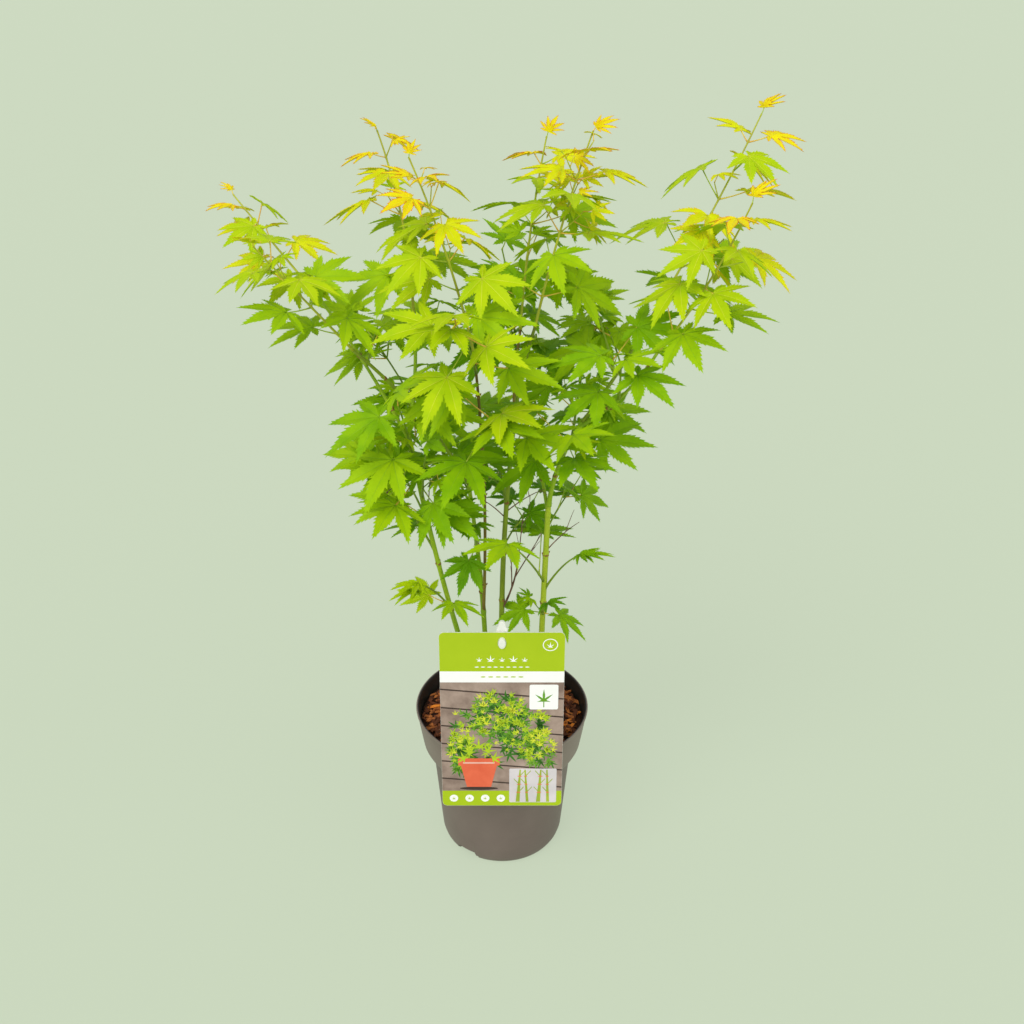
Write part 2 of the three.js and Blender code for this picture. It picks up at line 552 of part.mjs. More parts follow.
// Where a leaf sits: its stalk leaves the shoot sideways, and its blade hangs outwards from the stalk's end.
// Towards the shoot's tip the leaves close up and point along it.
function leafPlace(node, along, turn, length, tipward, draw) {
  const reference = Math.abs(along.y) < 0.7 ? ALONG_Y : ALONG_X;
  const side = new THREE.Vector3().crossVectors(along, reference).normalize();
  side.applyAxisAngle(along, turn);
  const openJitter = (draw(1) - 0.5) * 2 * GROWTH.openJitter;
  const open = radians(THREE.MathUtils.lerp(GROWTH.leafOpen, GROWTH.tipOpen, tipward) + openJitter);
  const stalkWay = along.clone().multiplyScalar(Math.cos(open)).addScaledVector(side, Math.sin(open));
  const shorter = THREE.MathUtils.lerp(1, GROWTH.tipStalk, tipward);
  const stalk = length * shorter * (GROWTH.stalk + (draw(2) - 0.5) * 2 * GROWTH.stalkJitter);
  const origin = node.clone().addScaledVector(stalkWay, stalk);
  const droop = radians(GROWTH.droop + (draw(3) - 0.5) * 2 * GROWTH.droopJitter);
  const outwards = new THREE.Vector3(stalkWay.x, stalkWay.y, 0).normalize();
  const forward = outwards.multiplyScalar(Math.cos(droop)).addScaledVector(UP, -Math.sin(droop));
  forward.addScaledVector(along, tipward).normalize();
  const face = LIGHT.clone().addScaledVector(forward, -LIGHT.dot(forward)).normalize();
  face.applyAxisAngle(forward, radians((draw(4) - 0.5) * 2 * GROWTH.roll));
  const sideways = new THREE.Vector3().crossVectors(face, forward);
  return { node, origin, forward, face, sideways };
}

// A pair of opposite leaves at one node; a leaf that would touch anything is turned, then skipped.
function growPair(row, place, along, node, turn, length, tipward, parts) {
  for (const half of [0, 1]) {
    for (let attempt = 0; attempt < GROWTH.tries; attempt++) {
      const key = place * 16 + half * 8 + attempt;
      const draw = (which) => chance(row.seed, key, which);
      const jitter = radians((draw(0) - 0.5) * 2 * GROWTH.turnJitter);
      const leaf = leafPlace(node, along, turn + Math.PI * half + jitter, length, tipward, draw);
      const sleeve = leafOnStalk(leaf, length, SLEEVE.stalkFrom, true);
      if (sleeve.boundingBox().min[2] > GROWTH.lowestLeaf && !touches(sleeve, [])) {
        parts.push(leafOnStalk(leaf, length));
        stands(`${row.name}.leaf`, sleeve);
        break;
      }
    }
  }
}

// The shoot of a spray, ready before any leaf grows, so that no leaf crosses it.
function shootOf(row) {
  const parent = limbs[row.on];
  const from = parent.curve.getPoint(row.at);
  const curve = bentCurve(from, new THREE.Vector3(...row.tip), new THREE.Vector3(...row.bend));
  const steps = Math.ceil(curve.getLength() / TWIG.step);
  const radiusAt = (grow) => (share) => (
    THREE.MathUtils.lerp(GROWTH.shootFrom, GROWTH.shootTo, share) / 2 + grow
  );
  const solid = toSolid(limbAlong(curve, radiusAt(0), TWIG.sides, steps));
  stands(row.name, toSolid(limbAlong(curve, radiusAt(SLEEVE.limb), TWIG.sides, steps)));
  return { row, curve, solid };
}

// A side twig of a spray, with two pairs of smaller leaves; one that would touch anything is skipped.
function growTwig(row, curve, baseTurn, k, parts) {
  const at = THREE.MathUtils.lerp(GROWTH.twigFrom, GROWTH.twigTo, k / Math.max(1, row.twigs - 1));
  const node = curve.getPoint(at);
  const draw = (which) => chance(row.seed, TWIG_PLACE + k, which);
  const turn = baseTurn + Math.PI * (k + GROWTH.twigTurn);
  const place = leafPlace(node, curve.getTangent(at), turn, 1, 0, draw);
  const way = place.origin.sub(node).normalize().addScaledVector(UP, GROWTH.twigRise).normalize();
  const tip = node.clone().addScaledVector(way, GROWTH.twigLength);
  const twig = bentCurve(node, tip, UP.clone().multiplyScalar(-GROWTH.twigLength * GROWTH.twigSag));
  const facets = [TWIG.sideTwigSides, TWIG.sideTwigSteps];
  const sleeve = toSolid(limbAlong(twig, () => TWIG.sideTwig / 2 + SLEEVE.limb, ...facets));
  if (touches(sleeve, [row.name])) return;
  parts.push(toSolid(limbAlong(twig, () => TWIG.sideTwig / 2, ...facets)));
  stands(row.name, sleeve);
  const length = row.leaf * GROWTH.twigLeaf;
  const key = TWIG_LEAF_PLACE + k * 2;
  growPair(row, key, twig.getTangent(0.5), twig.getPoint(0.5), 0, length, 0, parts);
  growPair(row, key + 1, twig.getTangent(1), twig.getPoint(1), Math.PI / 2, length, 1, parts);
}

// One spray: its shoot, leaf pairs and side twigs, fused into one solid.
function growSpray({ row, curve, solid }) {
  const parts = [];
  const baseTurn = chance(row.seed, 0, 5) * Math.PI;
  for (let k = row.pairs - 1; k >= 0; k--) {
    const share = row.pairs === 1 ? 1 : Math.pow(k / (row.pairs - 1), GROWTH.nodeCrowding);
    const at = THREE.MathUtils.lerp(GROWTH.firstLeaf, 1, share);
    const length = THREE.MathUtils.lerp(row.leaf, row.last, Math.pow(at, GROWTH.sizeHold));
    const tipward = Math.pow(at, GROWTH.tipSharpness);
    const turn = baseTurn + radians(GROWTH.turn) * k;
    growPair(row, k + 1, curve.getTangent(at), curve.getPoint(at), turn, length, tipward, parts);
  }
  for (let k = 0; k < row.twigs; k++) growTwig(row, curve, baseTurn, k, parts);
  let fused = solid;
  for (const part of parts) fused = fused.add(part);
  for (const limb of Object.values(limbs)) {
    if (limb.row.name === row.on || limb.row.on === row.on) fused = fused.subtract(limb.collar);
  }
  addPiece(row.name, largestBody(fused), lookAt(row.tip[2]));
}

function lookAt(height) {
  if (height > LOOK_HEIGHTS.top) return COLOURS.leafTop;
  return height > LOOK_HEIGHTS.middle ? COLOURS.leafMiddle : COLOURS.leafLow;
}

// The dead shoot: a stem with bare twigs that fan out along it.
function growBareShoot() {
  const from = limbs[BARE.on].curve.getPoint(BARE.at);
  const curve = bentCurve(from, new THREE.Vector3(...BARE.tip), new THREE.Vector3(...BARE.bend));
  const radiusAt = (grow) => (share) => THREE.MathUtils.lerp(BARE.from, BARE.to, share) / 2 + grow;
  let fused = toSolid(limbAlong(curve, radiusAt(0), TWIG.sides, BARE.steps));
  let sleeve = toSolid(limbAlong(curve, radiusAt(SLEEVE.limb), TWIG.sides, BARE.steps));
  for (let k = 0; k < BARE.twigs; k++) {
    const at = BARE.twigFrom + (k * (1 - BARE.twigFrom)) / BARE.twigs;
    const way = curve.getTangent(at);
    const side = new THREE.Vector3().crossVectors(way, ALONG_Y).normalize();
    side.applyAxisAngle(way, (k + chance(BARE.seed, k, 0)) * Math.PI);
    way.applyAxisAngle(side, radians(BARE.twigOpen));
    const start = curve.getPoint(at);
    const twig = new THREE.LineCurve3(start, start.clone().addScaledVector(way, BARE.twigLength));
    const radius = BARE.twigWidth / 2;
    fused = fused.add(toSolid(limbAlong(twig, () => radius, BARE.twigSides, 1)));
    sleeve = sleeve.add(toSolid(limbAlong(twig, () => radius + SLEEVE.limb, BARE.twigSides, 1)));
  }
  stands(BARE.name, sleeve);
  addPiece(BARE.name, largestBody(fused.subtract(limbs[BARE.on].collar)), COLOURS.deadTwig);
}

addPiece('pot', makePot(), COLOURS.pot);
addPiece('potting_mix', makeMix(), COLOURS.mix);
addPiece('label_card', makeCard(), COLOURS.card);
addPiece('label_peg', makePeg(0), COLOURS.peg);
stands('label_card', makeCard());
stands('label_peg', makePeg(0));
LIMBS.forEach(makeLimb);
growBareShoot();
const shoots = SPRAYS.map(shootOf);
shoots.forEach(growSpray);

export default maple;
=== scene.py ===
import json
import math
import random
from collections import namedtuple

import bmesh
import bpy
import numpy as np
from mathutils import Matrix, Vector
from mathutils.geometry import tessellate_polygon
from mathutils.kdtree import KDTree

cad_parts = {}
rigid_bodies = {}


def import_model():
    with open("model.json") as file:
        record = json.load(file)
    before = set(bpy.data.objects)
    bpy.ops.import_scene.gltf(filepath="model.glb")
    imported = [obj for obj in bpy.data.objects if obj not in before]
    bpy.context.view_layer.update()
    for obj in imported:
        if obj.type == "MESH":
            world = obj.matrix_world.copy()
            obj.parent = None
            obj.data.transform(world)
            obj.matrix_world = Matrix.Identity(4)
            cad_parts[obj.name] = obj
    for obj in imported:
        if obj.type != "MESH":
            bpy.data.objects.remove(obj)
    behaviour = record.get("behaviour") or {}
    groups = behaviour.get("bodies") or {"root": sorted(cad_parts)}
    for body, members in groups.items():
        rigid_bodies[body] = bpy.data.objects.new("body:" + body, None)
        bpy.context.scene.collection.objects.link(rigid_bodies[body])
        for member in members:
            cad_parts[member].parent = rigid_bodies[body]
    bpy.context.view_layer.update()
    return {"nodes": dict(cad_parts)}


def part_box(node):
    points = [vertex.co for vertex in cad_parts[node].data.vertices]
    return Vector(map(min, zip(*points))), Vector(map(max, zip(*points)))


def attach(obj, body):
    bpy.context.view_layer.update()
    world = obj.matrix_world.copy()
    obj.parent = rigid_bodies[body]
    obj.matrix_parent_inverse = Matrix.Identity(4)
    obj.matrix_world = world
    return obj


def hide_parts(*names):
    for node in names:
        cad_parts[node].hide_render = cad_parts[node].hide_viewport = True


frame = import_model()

scene = bpy.context.scene

# The stand: a plain pale sage floor that runs far out behind the plant, broad soft light from over the
# viewer's left shoulder with a weaker one from the right, and a camera that looks down at the plant from
# the front, as one does at a pot on a low table.
CAMERA_BACK, CAMERA_UP, CAMERA_DOWN = 0.800, 0.760, math.radians(28)
CAMERA_LENS = 39.87
CAMERA_SHIFT = (10 / 1024, -5 / 1024)
ROOM_STRENGTH = 0.52
STUDIO_LIGHTS = (
    # name, where it comes from, power, width in degrees, colour
    ("key", (-0.45, -0.8, 1.0), 1.75, 45, (1.0, 0.98, 0.95)),
    ("fill", (0.8, -0.7, 0.55), 0.6, 60, (0.97, 0.98, 1.0)),
)
FLOOR_HALF = 40.0
FLOOR_GLOW = 0.75


def tone(red, green, blue):
    """A colour given as 0 to 255 on screen, in the linear values that shaders and lights take."""
    parts = [value / 255 for value in (red, green, blue)]
    return (*(part / 12.92 if part <= 0.04045 else ((part + 0.055) / 1.055) ** 2.4 for part in parts), 1.0)


def set_inputs(node, values):
    """Gives the sockets of a node their plain values."""
    for socket, value in values.items():
        node.inputs[socket].default_value = value


def soft_light(name, come_from, power, width, colour):
    """Even light from one direction, as wide as a studio's soft box."""
    data = bpy.data.lights.new(name, "SUN")
    data.energy = power
    data.angle = math.radians(width)
    data.color = colour
    light = bpy.data.objects.new(name, data)
    light.rotation_euler = Vector(come_from).to_track_quat("Z", "Y").to_euler()
    scene.collection.objects.link(light)


camera_data = bpy.data.cameras.new("camera")
camera_data.lens = CAMERA_LENS
camera_data.shift_x, camera_data.shift_y = CAMERA_SHIFT
camera = bpy.data.objects.new("camera", camera_data)
camera.location = (0, -CAMERA_BACK, CAMERA_UP)
camera.rotation_euler = (math.pi / 2 - CAMERA_DOWN, 0, 0)
scene.collection.objects.link(camera)
scene.camera = camera
scene.view_settings.view_transform = "Standard"

room = bpy.data.worlds.new("soft_room")
room.use_nodes = True
set_inputs(room.node_tree.nodes["Background"], {"Color": (1.0, 1.0, 1.0, 1.0), "Strength": ROOM_STRENGTH})
scene.world = room
for light_row in STUDIO_LIGHTS:
    soft_light(*light_row)

floor_mesh = bpy.data.meshes.new("floor")
floor_mesh.from_pydata(
    [(-FLOOR_HALF, -FLOOR_HALF, 0), (FLOOR_HALF, -FLOOR_HALF, 0),
     (FLOOR_HALF, FLOOR_HALF, 0), (-FLOOR_HALF, FLOOR_HALF, 0)], [], [(0, 1, 2, 3)])
floor = bpy.data.objects.new("floor", floor_mesh)
scene.collection.objects.link(floor)
floor_paint = bpy.data.materials.new("floor_paint")
floor_paint.use_nodes = True
sage = tone(203, 216, 191)
set_inputs(floor_paint.node_tree.nodes["Principled BSDF"], {
    "Base Color": tuple(part * (1 - FLOOR_GLOW) for part in sage[:3]) + (1.0,), "Emission Color": sage,
    "Emission Strength": FLOOR_GLOW, "Roughness": 0.9, "Specular IOR Level": 0.1})
floor_mesh.materials.append(floor_paint)

# The pot: a nursery pot injection-moulded in taupe recycled plastic, a straight cone with a rounded shoulder
# and a wide collar, painted paler than the body as painted light, since the body lies in the collar's shade.
# The foot ring has three notches for the water, and the wall ends above in a thin rolled rim. The inside is the
# same plastic painted dark, partly the stain of wet mix and partly painted shade, from the rim's inner edge
# down.
MM = 0.001
POT_SEGMENTS = 180
POT = {
    "rim": 75, "height": 140, "wall": 1.6, "roll": 137, "floor_top": 10.8,
    "foot": 49, "foot_round": [(51.3, 2.4), (53.1, 5.6)], "belly": (54.4, 10),
    "belly_side": [(55.6, 24), (57.3, 45), (59.2, 68)], "waist": (61, 90), "shoulder_steps": 8,
    "collar_foot": (70, 108), "collar_side": [(71.6, 118), (73.1, 128), (74.2, 136), (74.45, 137.6)],
    "ring_inside": 42, "recess": 9, "pad": 12,
}
NOTCH = {"first": -127, "count": 3, "half_width": 11, "height": 9, "corner": 2.2}
DRAIN = {"count": 4, "radius": 4.5, "circle": 33, "sides": 24}
PLASTIC = {"scale": 14, "roughness": 0.5, "balance": -0.15, "relief": 0.12, "relief_scale": 900,
           "specular": 0.4}


def smooth_step(share):
    share = min(max(share, 0.0), 1.0)
    return share * share * (3 - 2 * share)


def add_sockets(group, way, kinds):
    """Named inputs or outputs of a node group."""
    for name, kind in kinds.items():
        group.interface.new_socket(name=name, in_out=way, socket_type="NodeSocket" + kind)


def wire(tree, *pairs):
    """Joins each output to its input."""
    for output, entry in pairs:
        tree.links.new(output, entry)


def mottle_group():
    """Soft uneven tone and a matching height, for plastic, bark, leaf and paper alike."""
    group = bpy.data.node_groups.new("uneven_tone", "ShaderNodeTree")
    add_sockets(group, "INPUT", {"Vector": "Vector", "Light": "Color", "Dark": "Color", "Scale": "Float",
                                 "Balance": "Float"})
    add_sockets(group, "OUTPUT", {"Color": "Color", "Height": "Float"})
    nodes = group.nodes
    entry, leaving = nodes.new("NodeGroupInput"), nodes.new("NodeGroupOutput")
    noise = nodes.new("ShaderNodeTexNoise")
    set_inputs(noise, {"Detail": 5, "Roughness": 0.6})
    spread = nodes.new("ShaderNodeMapRange")
    set_inputs(spread, {"From Min": 0.32, "From Max": 0.68})
    lean = nodes.new("ShaderNodeMath")
    lean.operation = "ADD"
    lean.use_clamp = True
    blend = nodes.new("ShaderNodeMix")
    blend.data_type = "RGBA"
    wire(group,
         (entry.outputs["Vector"], noise.inputs["Vector"]), (entry.outputs["Scale"], noise.inputs["Scale"]),
         (noise.outputs["Fac"], spread.inputs["Value"]), (spread.outputs["Result"], lean.inputs[0]),
         (entry.outputs["Balance"], lean.inputs[1]), (lean.outputs["Value"], blend.inputs["Factor"]),
         (entry.outputs["Light"], blend.inputs["A"]), (entry.outputs["Dark"], blend.inputs["B"]),
         (blend.outputs["Result"], leaving.inputs["Color"]), (noise.outputs["Fac"], leaving.inputs["Height"]))
    return group


UNEVEN_TONE = mottle_group()


def finish_material(name, light, dark, scale, roughness, balance=0.0, relief=0.0, relief_scale=None,
                    stretch=(1, 1, 1), specular=0.5):
    """A finish with uneven tone over the piece and a fine relief; sizes of the pattern are per metre."""
    made = bpy.data.materials.new(name)
    made.use_nodes = True
    nodes = made.node_tree.nodes
    shader = nodes["Principled BSDF"]
    set_inputs(shader, {"Roughness": roughness, "Specular IOR Level": specular})
    place = nodes.new("ShaderNodeTexCoord")
    mapping = nodes.new("ShaderNodeMapping")
    set_inputs(mapping, {"Scale": stretch})
    patches = nodes.new("ShaderNodeGroup")
    patches.node_tree = UNEVEN_TONE
    set_inputs(patches, {"Light": light, "Dark": dark, "Scale": scale, "Balance": balance})
    wire(made.node_tree, (place.outputs["Object"], mapping.inputs["Vector"]),
         (mapping.outputs["Vector"], patches.inputs["Vector"]),
         (patches.outputs["Color"], shader.inputs["Base Color"]))
    if relief:
        grain = nodes.new("ShaderNodeGroup")
        grain.node_tree = UNEVEN_TONE
        set_inputs(grain, {"Scale": relief_scale})
        bump = nodes.new("ShaderNodeBump")
        set_inputs(bump, {"Strength": relief, "Distance": 0.0006})
        wire(made.node_tree, (mapping.outputs["Vector"], grain.inputs["Vector"]),
             (grain.outputs["Height"], bump.inputs["Height"]),
             (bump.outputs["Normal"], shader.inputs["Normal"]))
    return made


def piece_from(name, points, faces, materials, smooth=True, face_materials=None):
    """An object at the origin with its place in its mesh, from points in millimetres."""
    mesh = bpy.data.meshes.new(name)
    mesh.from_pydata((np.asarray(points, float) * MM).tolist(), [], [tuple(face) for face in faces])
    for material in materials:
        mesh.materials.append(material)
    if face_materials is not None:
        mesh.polygons.foreach_set("material_index", np.asarray(face_materials, np.int32))
    mesh.polygons.foreach_set("use_smooth", np.full(len(mesh.polygons), smooth))
    mesh.update()
    made = bpy.data.objects.new(name, mesh)
    scene.collection.objects.link(made)
    return made


def evaluated_mesh(source, name):
    """The plain mesh of an object with its modifiers applied."""
    graph = bpy.context.evaluated_depsgraph_get()
    graph.update()
    mesh = bpy.data.meshes.new_from_object(source.evaluated_get(graph), depsgraph=graph)
    mesh.name = name
    return mesh


def crisp(made, mesh, degrees):
    """Gives a piece its finished mesh, smooth but for the edges sharper than this."""
    made.modifiers.clear()
    made.data = mesh
    mesh.polygons.foreach_set("use_smooth", np.full(len(mesh.polygons), True))
    mesh.set_sharp_from_angle(angle=math.radians(degrees))
    return made


def oval(x, y, wide, high, steps=28):
    return [(x + math.cos(2 * math.pi * step / steps) * wide / 2,
             y + math.sin(2 * math.pi * step / steps) * high / 2) for step in range(steps)]


def bands(rings):
    """Faces between each closed row of points and the next; a pole is a row of one repeated point."""
    faces = []
    for low, high in zip(rings, rings[1:]):
        for here in range(len(low)):
            after = (here + 1) % len(low)
            faces.append(list(dict.fromkeys([low[here], low[after], high[after], high[here]])))
    return faces


def turned(profile, segments, level):
    """A shape turned round the pot's axis, from rows that begin with a radius and a height."""
    points, rings = [], []
    for row in profile:
        if row[0] == 0:
            rings.append([len(points)] * segments)
            points.append((0, 0, row[1]))
            continue
        rings.append(list(range(len(points), len(points) + segments)))
        for segment in range(segments):
            angle = 2 * math.pi * segment / segments
            points.append((math.cos(angle) * row[0], math.sin(angle) * row[0], level(angle, *row)))
    return points, bands(rings)


def pot_outline():
    """Outer and inner profile as (radius, height, is_inside), from the pad's middle round to the floor's."""
    waist, collar, steps = POT["waist"], POT["collar_foot"], POT["shoulder_steps"]
    rim, top, pad, recess, ring = (POT[name] for name in ("rim", "height", "pad", "recess", "ring_inside"))
    outer = [(POT["foot"] - 0.6, 0.0), (POT["foot"] + 0.4, 0.5), *POT["foot_round"]]
    outer += [POT["belly"], *POT["belly_side"]]
    for step in range(steps + 1):
        share = step / steps
        outer.append((waist[0] + (collar[0] - waist[0]) * smooth_step(share),
                      waist[1] + (collar[1] - waist[1]) * share))
    outer += POT["collar_side"]
    rolled = [(rim + 0.15, top - 1.7), (rim + 0.3, top - 0.8), (rim, top - 0.1), (rim - 0.8, top)]
    inner = [(rim - 1.7, top - 0.4), (rim - 2.0, top - 1.2)]
    inner += [(radius - POT["wall"], height) for radius, height in reversed(outer)
              if POT["floor_top"] + 2 < height < POT["roll"]]
    inner += [(52.0, POT["floor_top"] + 1.2), (50.8, POT["floor_top"]), (0, POT["floor_top"])]
    under = [(0, 0), (pad - 0.5, 0), (pad, 0.5), (pad + 0.6, recess - 0.6), (pad + 1.4, recess),
             (ring - 1.2, recess), (ring - 0.4, recess - 0.6), (ring, 0.5), (ring + 0.6, 0)]
    return [(*row, False) for row in under + outer + rolled] + [(*row, True) for row in inner]


def notch_lift(angle, radius):
    """How far the underside rises at this place, where a water notch crosses the foot ring."""
    lift = 0.0
    for index in range(NOTCH["count"]):
        middle = math.radians(NOTCH["first"] + index * 360 / NOTCH["count"])
        aside = abs(math.sin(angle - middle)) * radius
        if math.cos(angle - middle) > 0:
            lift = max(lift, smooth_step((NOTCH["half_width"] - aside) / NOTCH["corner"]))
    return lift * NOTCH["height"]


def drain_bars():
    """Round bars that stand where the drain holes are, to be cut away."""
    points, faces = [], []
    wide = DRAIN["radius"] * 2
    for index in range(DRAIN["count"]):
        middle = math.radians((index + 0.5) * 360 / DRAIN["count"])
        x, y = math.cos(middle) * DRAIN["circle"], math.sin(middle) * DRAIN["circle"]
        rings = []
        for height in (-2, POT["floor_top"] + 3):
            rings.append(list(range(len(points), len(points) + DRAIN["sides"])))
            points += [(*spot, height) for spot in oval(x, y, wide, wide, DRAIN["sides"])]
        faces += bands(rings) + [rings[0][::-1], rings[1]]
    return points, faces


def make_pot():
    outline = pot_outline()

    def level(angle, radius, height, inside):
        lift = notch_lift(angle, radius) if radius > POT["ring_inside"] - 0.5 and not inside else 0
        return max(height, lift)

    points, faces = turned(outline, POT_SEGMENTS, level)
    shoulder = (POT["waist"][1] + POT["collar_foot"][1]) / 2
    face_materials = []
    # Faces of the inside, from the rim's inner edge down, get the dark inner finish: wet stain and painted
    # shade. Faces above the shoulder get the collar's paler plastic, which is painted light.
    for (_, below, _), (_, _, inside) in zip(outline, outline[1:]):
        face_materials += [1 if inside else 2 if below > shoulder else 0] * POT_SEGMENTS
    plastic = finish_material("taupe_plastic", tone(119, 105, 99), tone(106, 92, 87), **PLASTIC)
    # The collar's copy of the plastic is painted paler. This is painted light: the body below lies in the
    # collar's shade.
    collar_painted_light = finish_material("faded_taupe_plastic", tone(136, 123, 114), tone(120, 107, 99), **PLASTIC)
    # The inner wall's dark is partly the stain of wet mix and partly painted shade inside the pot.
    wet_stain_and_painted_shade = finish_material("wet_inner_wall", tone(38, 38, 33), tone(22, 20, 16), 40, 0.5, relief=0.2,
                          relief_scale=300)
    moulding = piece_from("pot_moulding", points, faces, [plastic, wet_stain_and_painted_shade, collar_painted_light], face_materials=face_materials)
    cutter = piece_from("drain_cutter", *drain_bars(), [wet_stain_and_painted_shade])
    bore = moulding.modifiers.new("drain_holes", "BOOLEAN")
    bore.operation = "DIFFERENCE"
    bore.solver = "EXACT"
    bore.object = cutter
    drilled = evaluated_mesh(moulding, "pot_moulding")
    crisp(moulding, drilled, 38)
    bpy.data.objects.remove(cutter)
    return moulding


pot = make_pot()
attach(pot, "root")
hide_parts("pot")

# The potting mix: dark moist peat that fills the pot to a finger's width below the rim, and on it a mulch of
# split pine bark. The chips are flat splinters of three tints, strewn at every angle, a few freshly orange.
MIX_TOP = 127.0
MIX_RADIUS = 70.6
MIX_SEGMENTS, MIX_RINGS = 96, 22
SWELL = {"waves": 5, "long": (60, 160), "height": 0.5, "grain": 0.5, "turn": 6.3}
MIX_SIDE = [(0, 11.3), (50, 11.3), (52.2, 13), (55.6, 48), (58.8, 88), (67.6, 108),
            (MIX_RADIUS, MIX_TOP - 4.5)]
BARK_BED = MIX_RADIUS - 2.5
BARK_TINTS = {
    # name: light tone, dark tone, chips, seed
    "bark_dark": (tone(124, 68, 38), tone(66, 34, 20), 400, 3),
    "bark_brown": (tone(200, 122, 60), tone(128, 68, 34), 420, 11),
    "bark_orange": (tone(246, 150, 50), tone(206, 112, 40), 44, 23),
}
CHIP = {"length": 14.0, "width": 3.6, "thickness": 1.7, "stations": 6}


def make_mix():
    rng = random.Random(5)
    turn, grain = SWELL["turn"], SWELL["grain"]
    swell = [(rng.uniform(*SWELL["long"]), rng.uniform(0, turn), rng.uniform(0, turn))
             for _ in range(SWELL["waves"])]

    def level(angle, radius, height):
        if height <= MIX_TOP - 2:
            return height
        x, y = math.cos(angle) * radius, math.sin(angle) * radius
        rise = sum(math.sin(x / wave * turn + one) * math.cos(y / wave * turn + two)
                   for wave, one, two in swell)
        return height + (rise * SWELL["height"] + rng.uniform(-grain, grain))

    top = [(MIX_RADIUS * (1 - ring / MIX_RINGS), MIX_TOP - 1.6) for ring in range(MIX_RINGS + 1)]
    points, faces = turned(MIX_SIDE + top, MIX_SEGMENTS, level)
    peat = finish_material("moist_peat", tone(74, 42, 28), tone(42, 23, 15), 160, 0.95, relief=0.9,
                           relief_scale=420, specular=0.25)
    return piece_from("peat_fill", points, faces, [peat])


def chip_tree():
    """Strews a chip over a flat disc: points on faces, a turn and a size for each, realized as one mesh."""
    tree = bpy.data.node_groups.new("strewn_bark", "GeometryNodeTree")
    add_sockets(tree, "INPUT", {
        "Geometry": "Geometry", "Chip": "Object", "Density": "Float", "Seed": "Int", "Smallest": "Float",
        "Largest": "Float", "Tilt": "Float", "Finish": "Material"})
    add_sockets(tree, "OUTPUT", {"Geometry": "Geometry"})
    nodes = tree.nodes
    entry, leaving = nodes.new("NodeGroupInput"), nodes.new("NodeGroupOutput")
    scatter = nodes.new("GeometryNodeDistributePointsOnFaces")
    chip = nodes.new("GeometryNodeObjectInfo")
    strew = nodes.new("GeometryNodeInstanceOnPoints")
    size, turn = nodes.new("FunctionNodeRandomValue"), nodes.new("FunctionNodeRandomValue")
    size.data_type, turn.data_type = "FLOAT", "FLOAT_VECTOR"
    lowest, highest = nodes.new("ShaderNodeCombineXYZ"), nodes.new("ShaderNodeCombineXYZ")
    set_inputs(highest, {"Z": 2 * math.pi})
    minus = nodes.new("ShaderNodeMath")
    minus.operation = "MULTIPLY"
    set_inputs(minus, {1: -1.0})
    realize = nodes.new("GeometryNodeRealizeInstances")
    paint = nodes.new("GeometryNodeSetMaterial")
    tilt = entry.outputs["Tilt"]
    wire(tree,
         (entry.outputs["Geometry"], scatter.inputs["Mesh"]),
         (entry.outputs["Density"], scatter.inputs["Density"]),
         (entry.outputs["Chip"], chip.inputs["Object"]), (scatter.outputs["Points"], strew.inputs["Points"]),
         (chip.outputs["Geometry"], strew.inputs["Instance"]), (tilt, minus.inputs[0]),
         *((minus.outputs["Value"], lowest.inputs[axis]) for axis in "XY"),
         *((tilt, highest.inputs[axis]) for axis in "XY"),
         *((entry.outputs["Seed"], node.inputs["Seed"]) for node in (scatter, turn, size)),
         (lowest.outputs["Vector"], turn.inputs[0]), (highest.outputs["Vector"], turn.inputs[1]),
         (entry.outputs["Smallest"], size.inputs[2]), (entry.outputs["Largest"], size.inputs[3]),
         (turn.outputs[0], strew.inputs["Rotation"]), (size.outputs[1], strew.inputs["Scale"]),
         (strew.outputs["Instances"], realize.inputs["Geometry"]),
         (realize.outputs["Geometry"], paint.inputs["Geometry"]),
         (entry.outputs["Finish"], paint.inputs["Material"]),
         (paint.outputs["Geometry"], leaving.inputs["Geometry"]))
    return tree


def chip_shape(name, seed, material):
    """One split splinter of bark, long and flat, with broken ends and a ragged edge."""
    rng = random.Random(seed)
    stations = CHIP["stations"]
    points = []
    for station in range(stations):
        share = station / (stations - 1)
        full = math.sin(math.pi * (0.14 + 0.72 * share)) ** 0.6
        bow = math.sin(share * 3) * 0.7
        for side, top in ((-1, 1), (1, 1), (1, -1), (-1, -1)):
            points.append(((share - 0.5) * CHIP["length"] + rng.uniform(-0.7, 0.7),
                           side * CHIP["width"] / 2 * full * rng.uniform(0.65, 1.15),
                           top * CHIP["thickness"] / 2 * full * rng.uniform(0.6, 1.2) + bow))
    rings = [list(range(first, first + 4)) for first in range(0, len(points), 4)]
    return piece_from(name, points, bands(rings) + [rings[0][::-1], rings[-1]], [material], smooth=False)


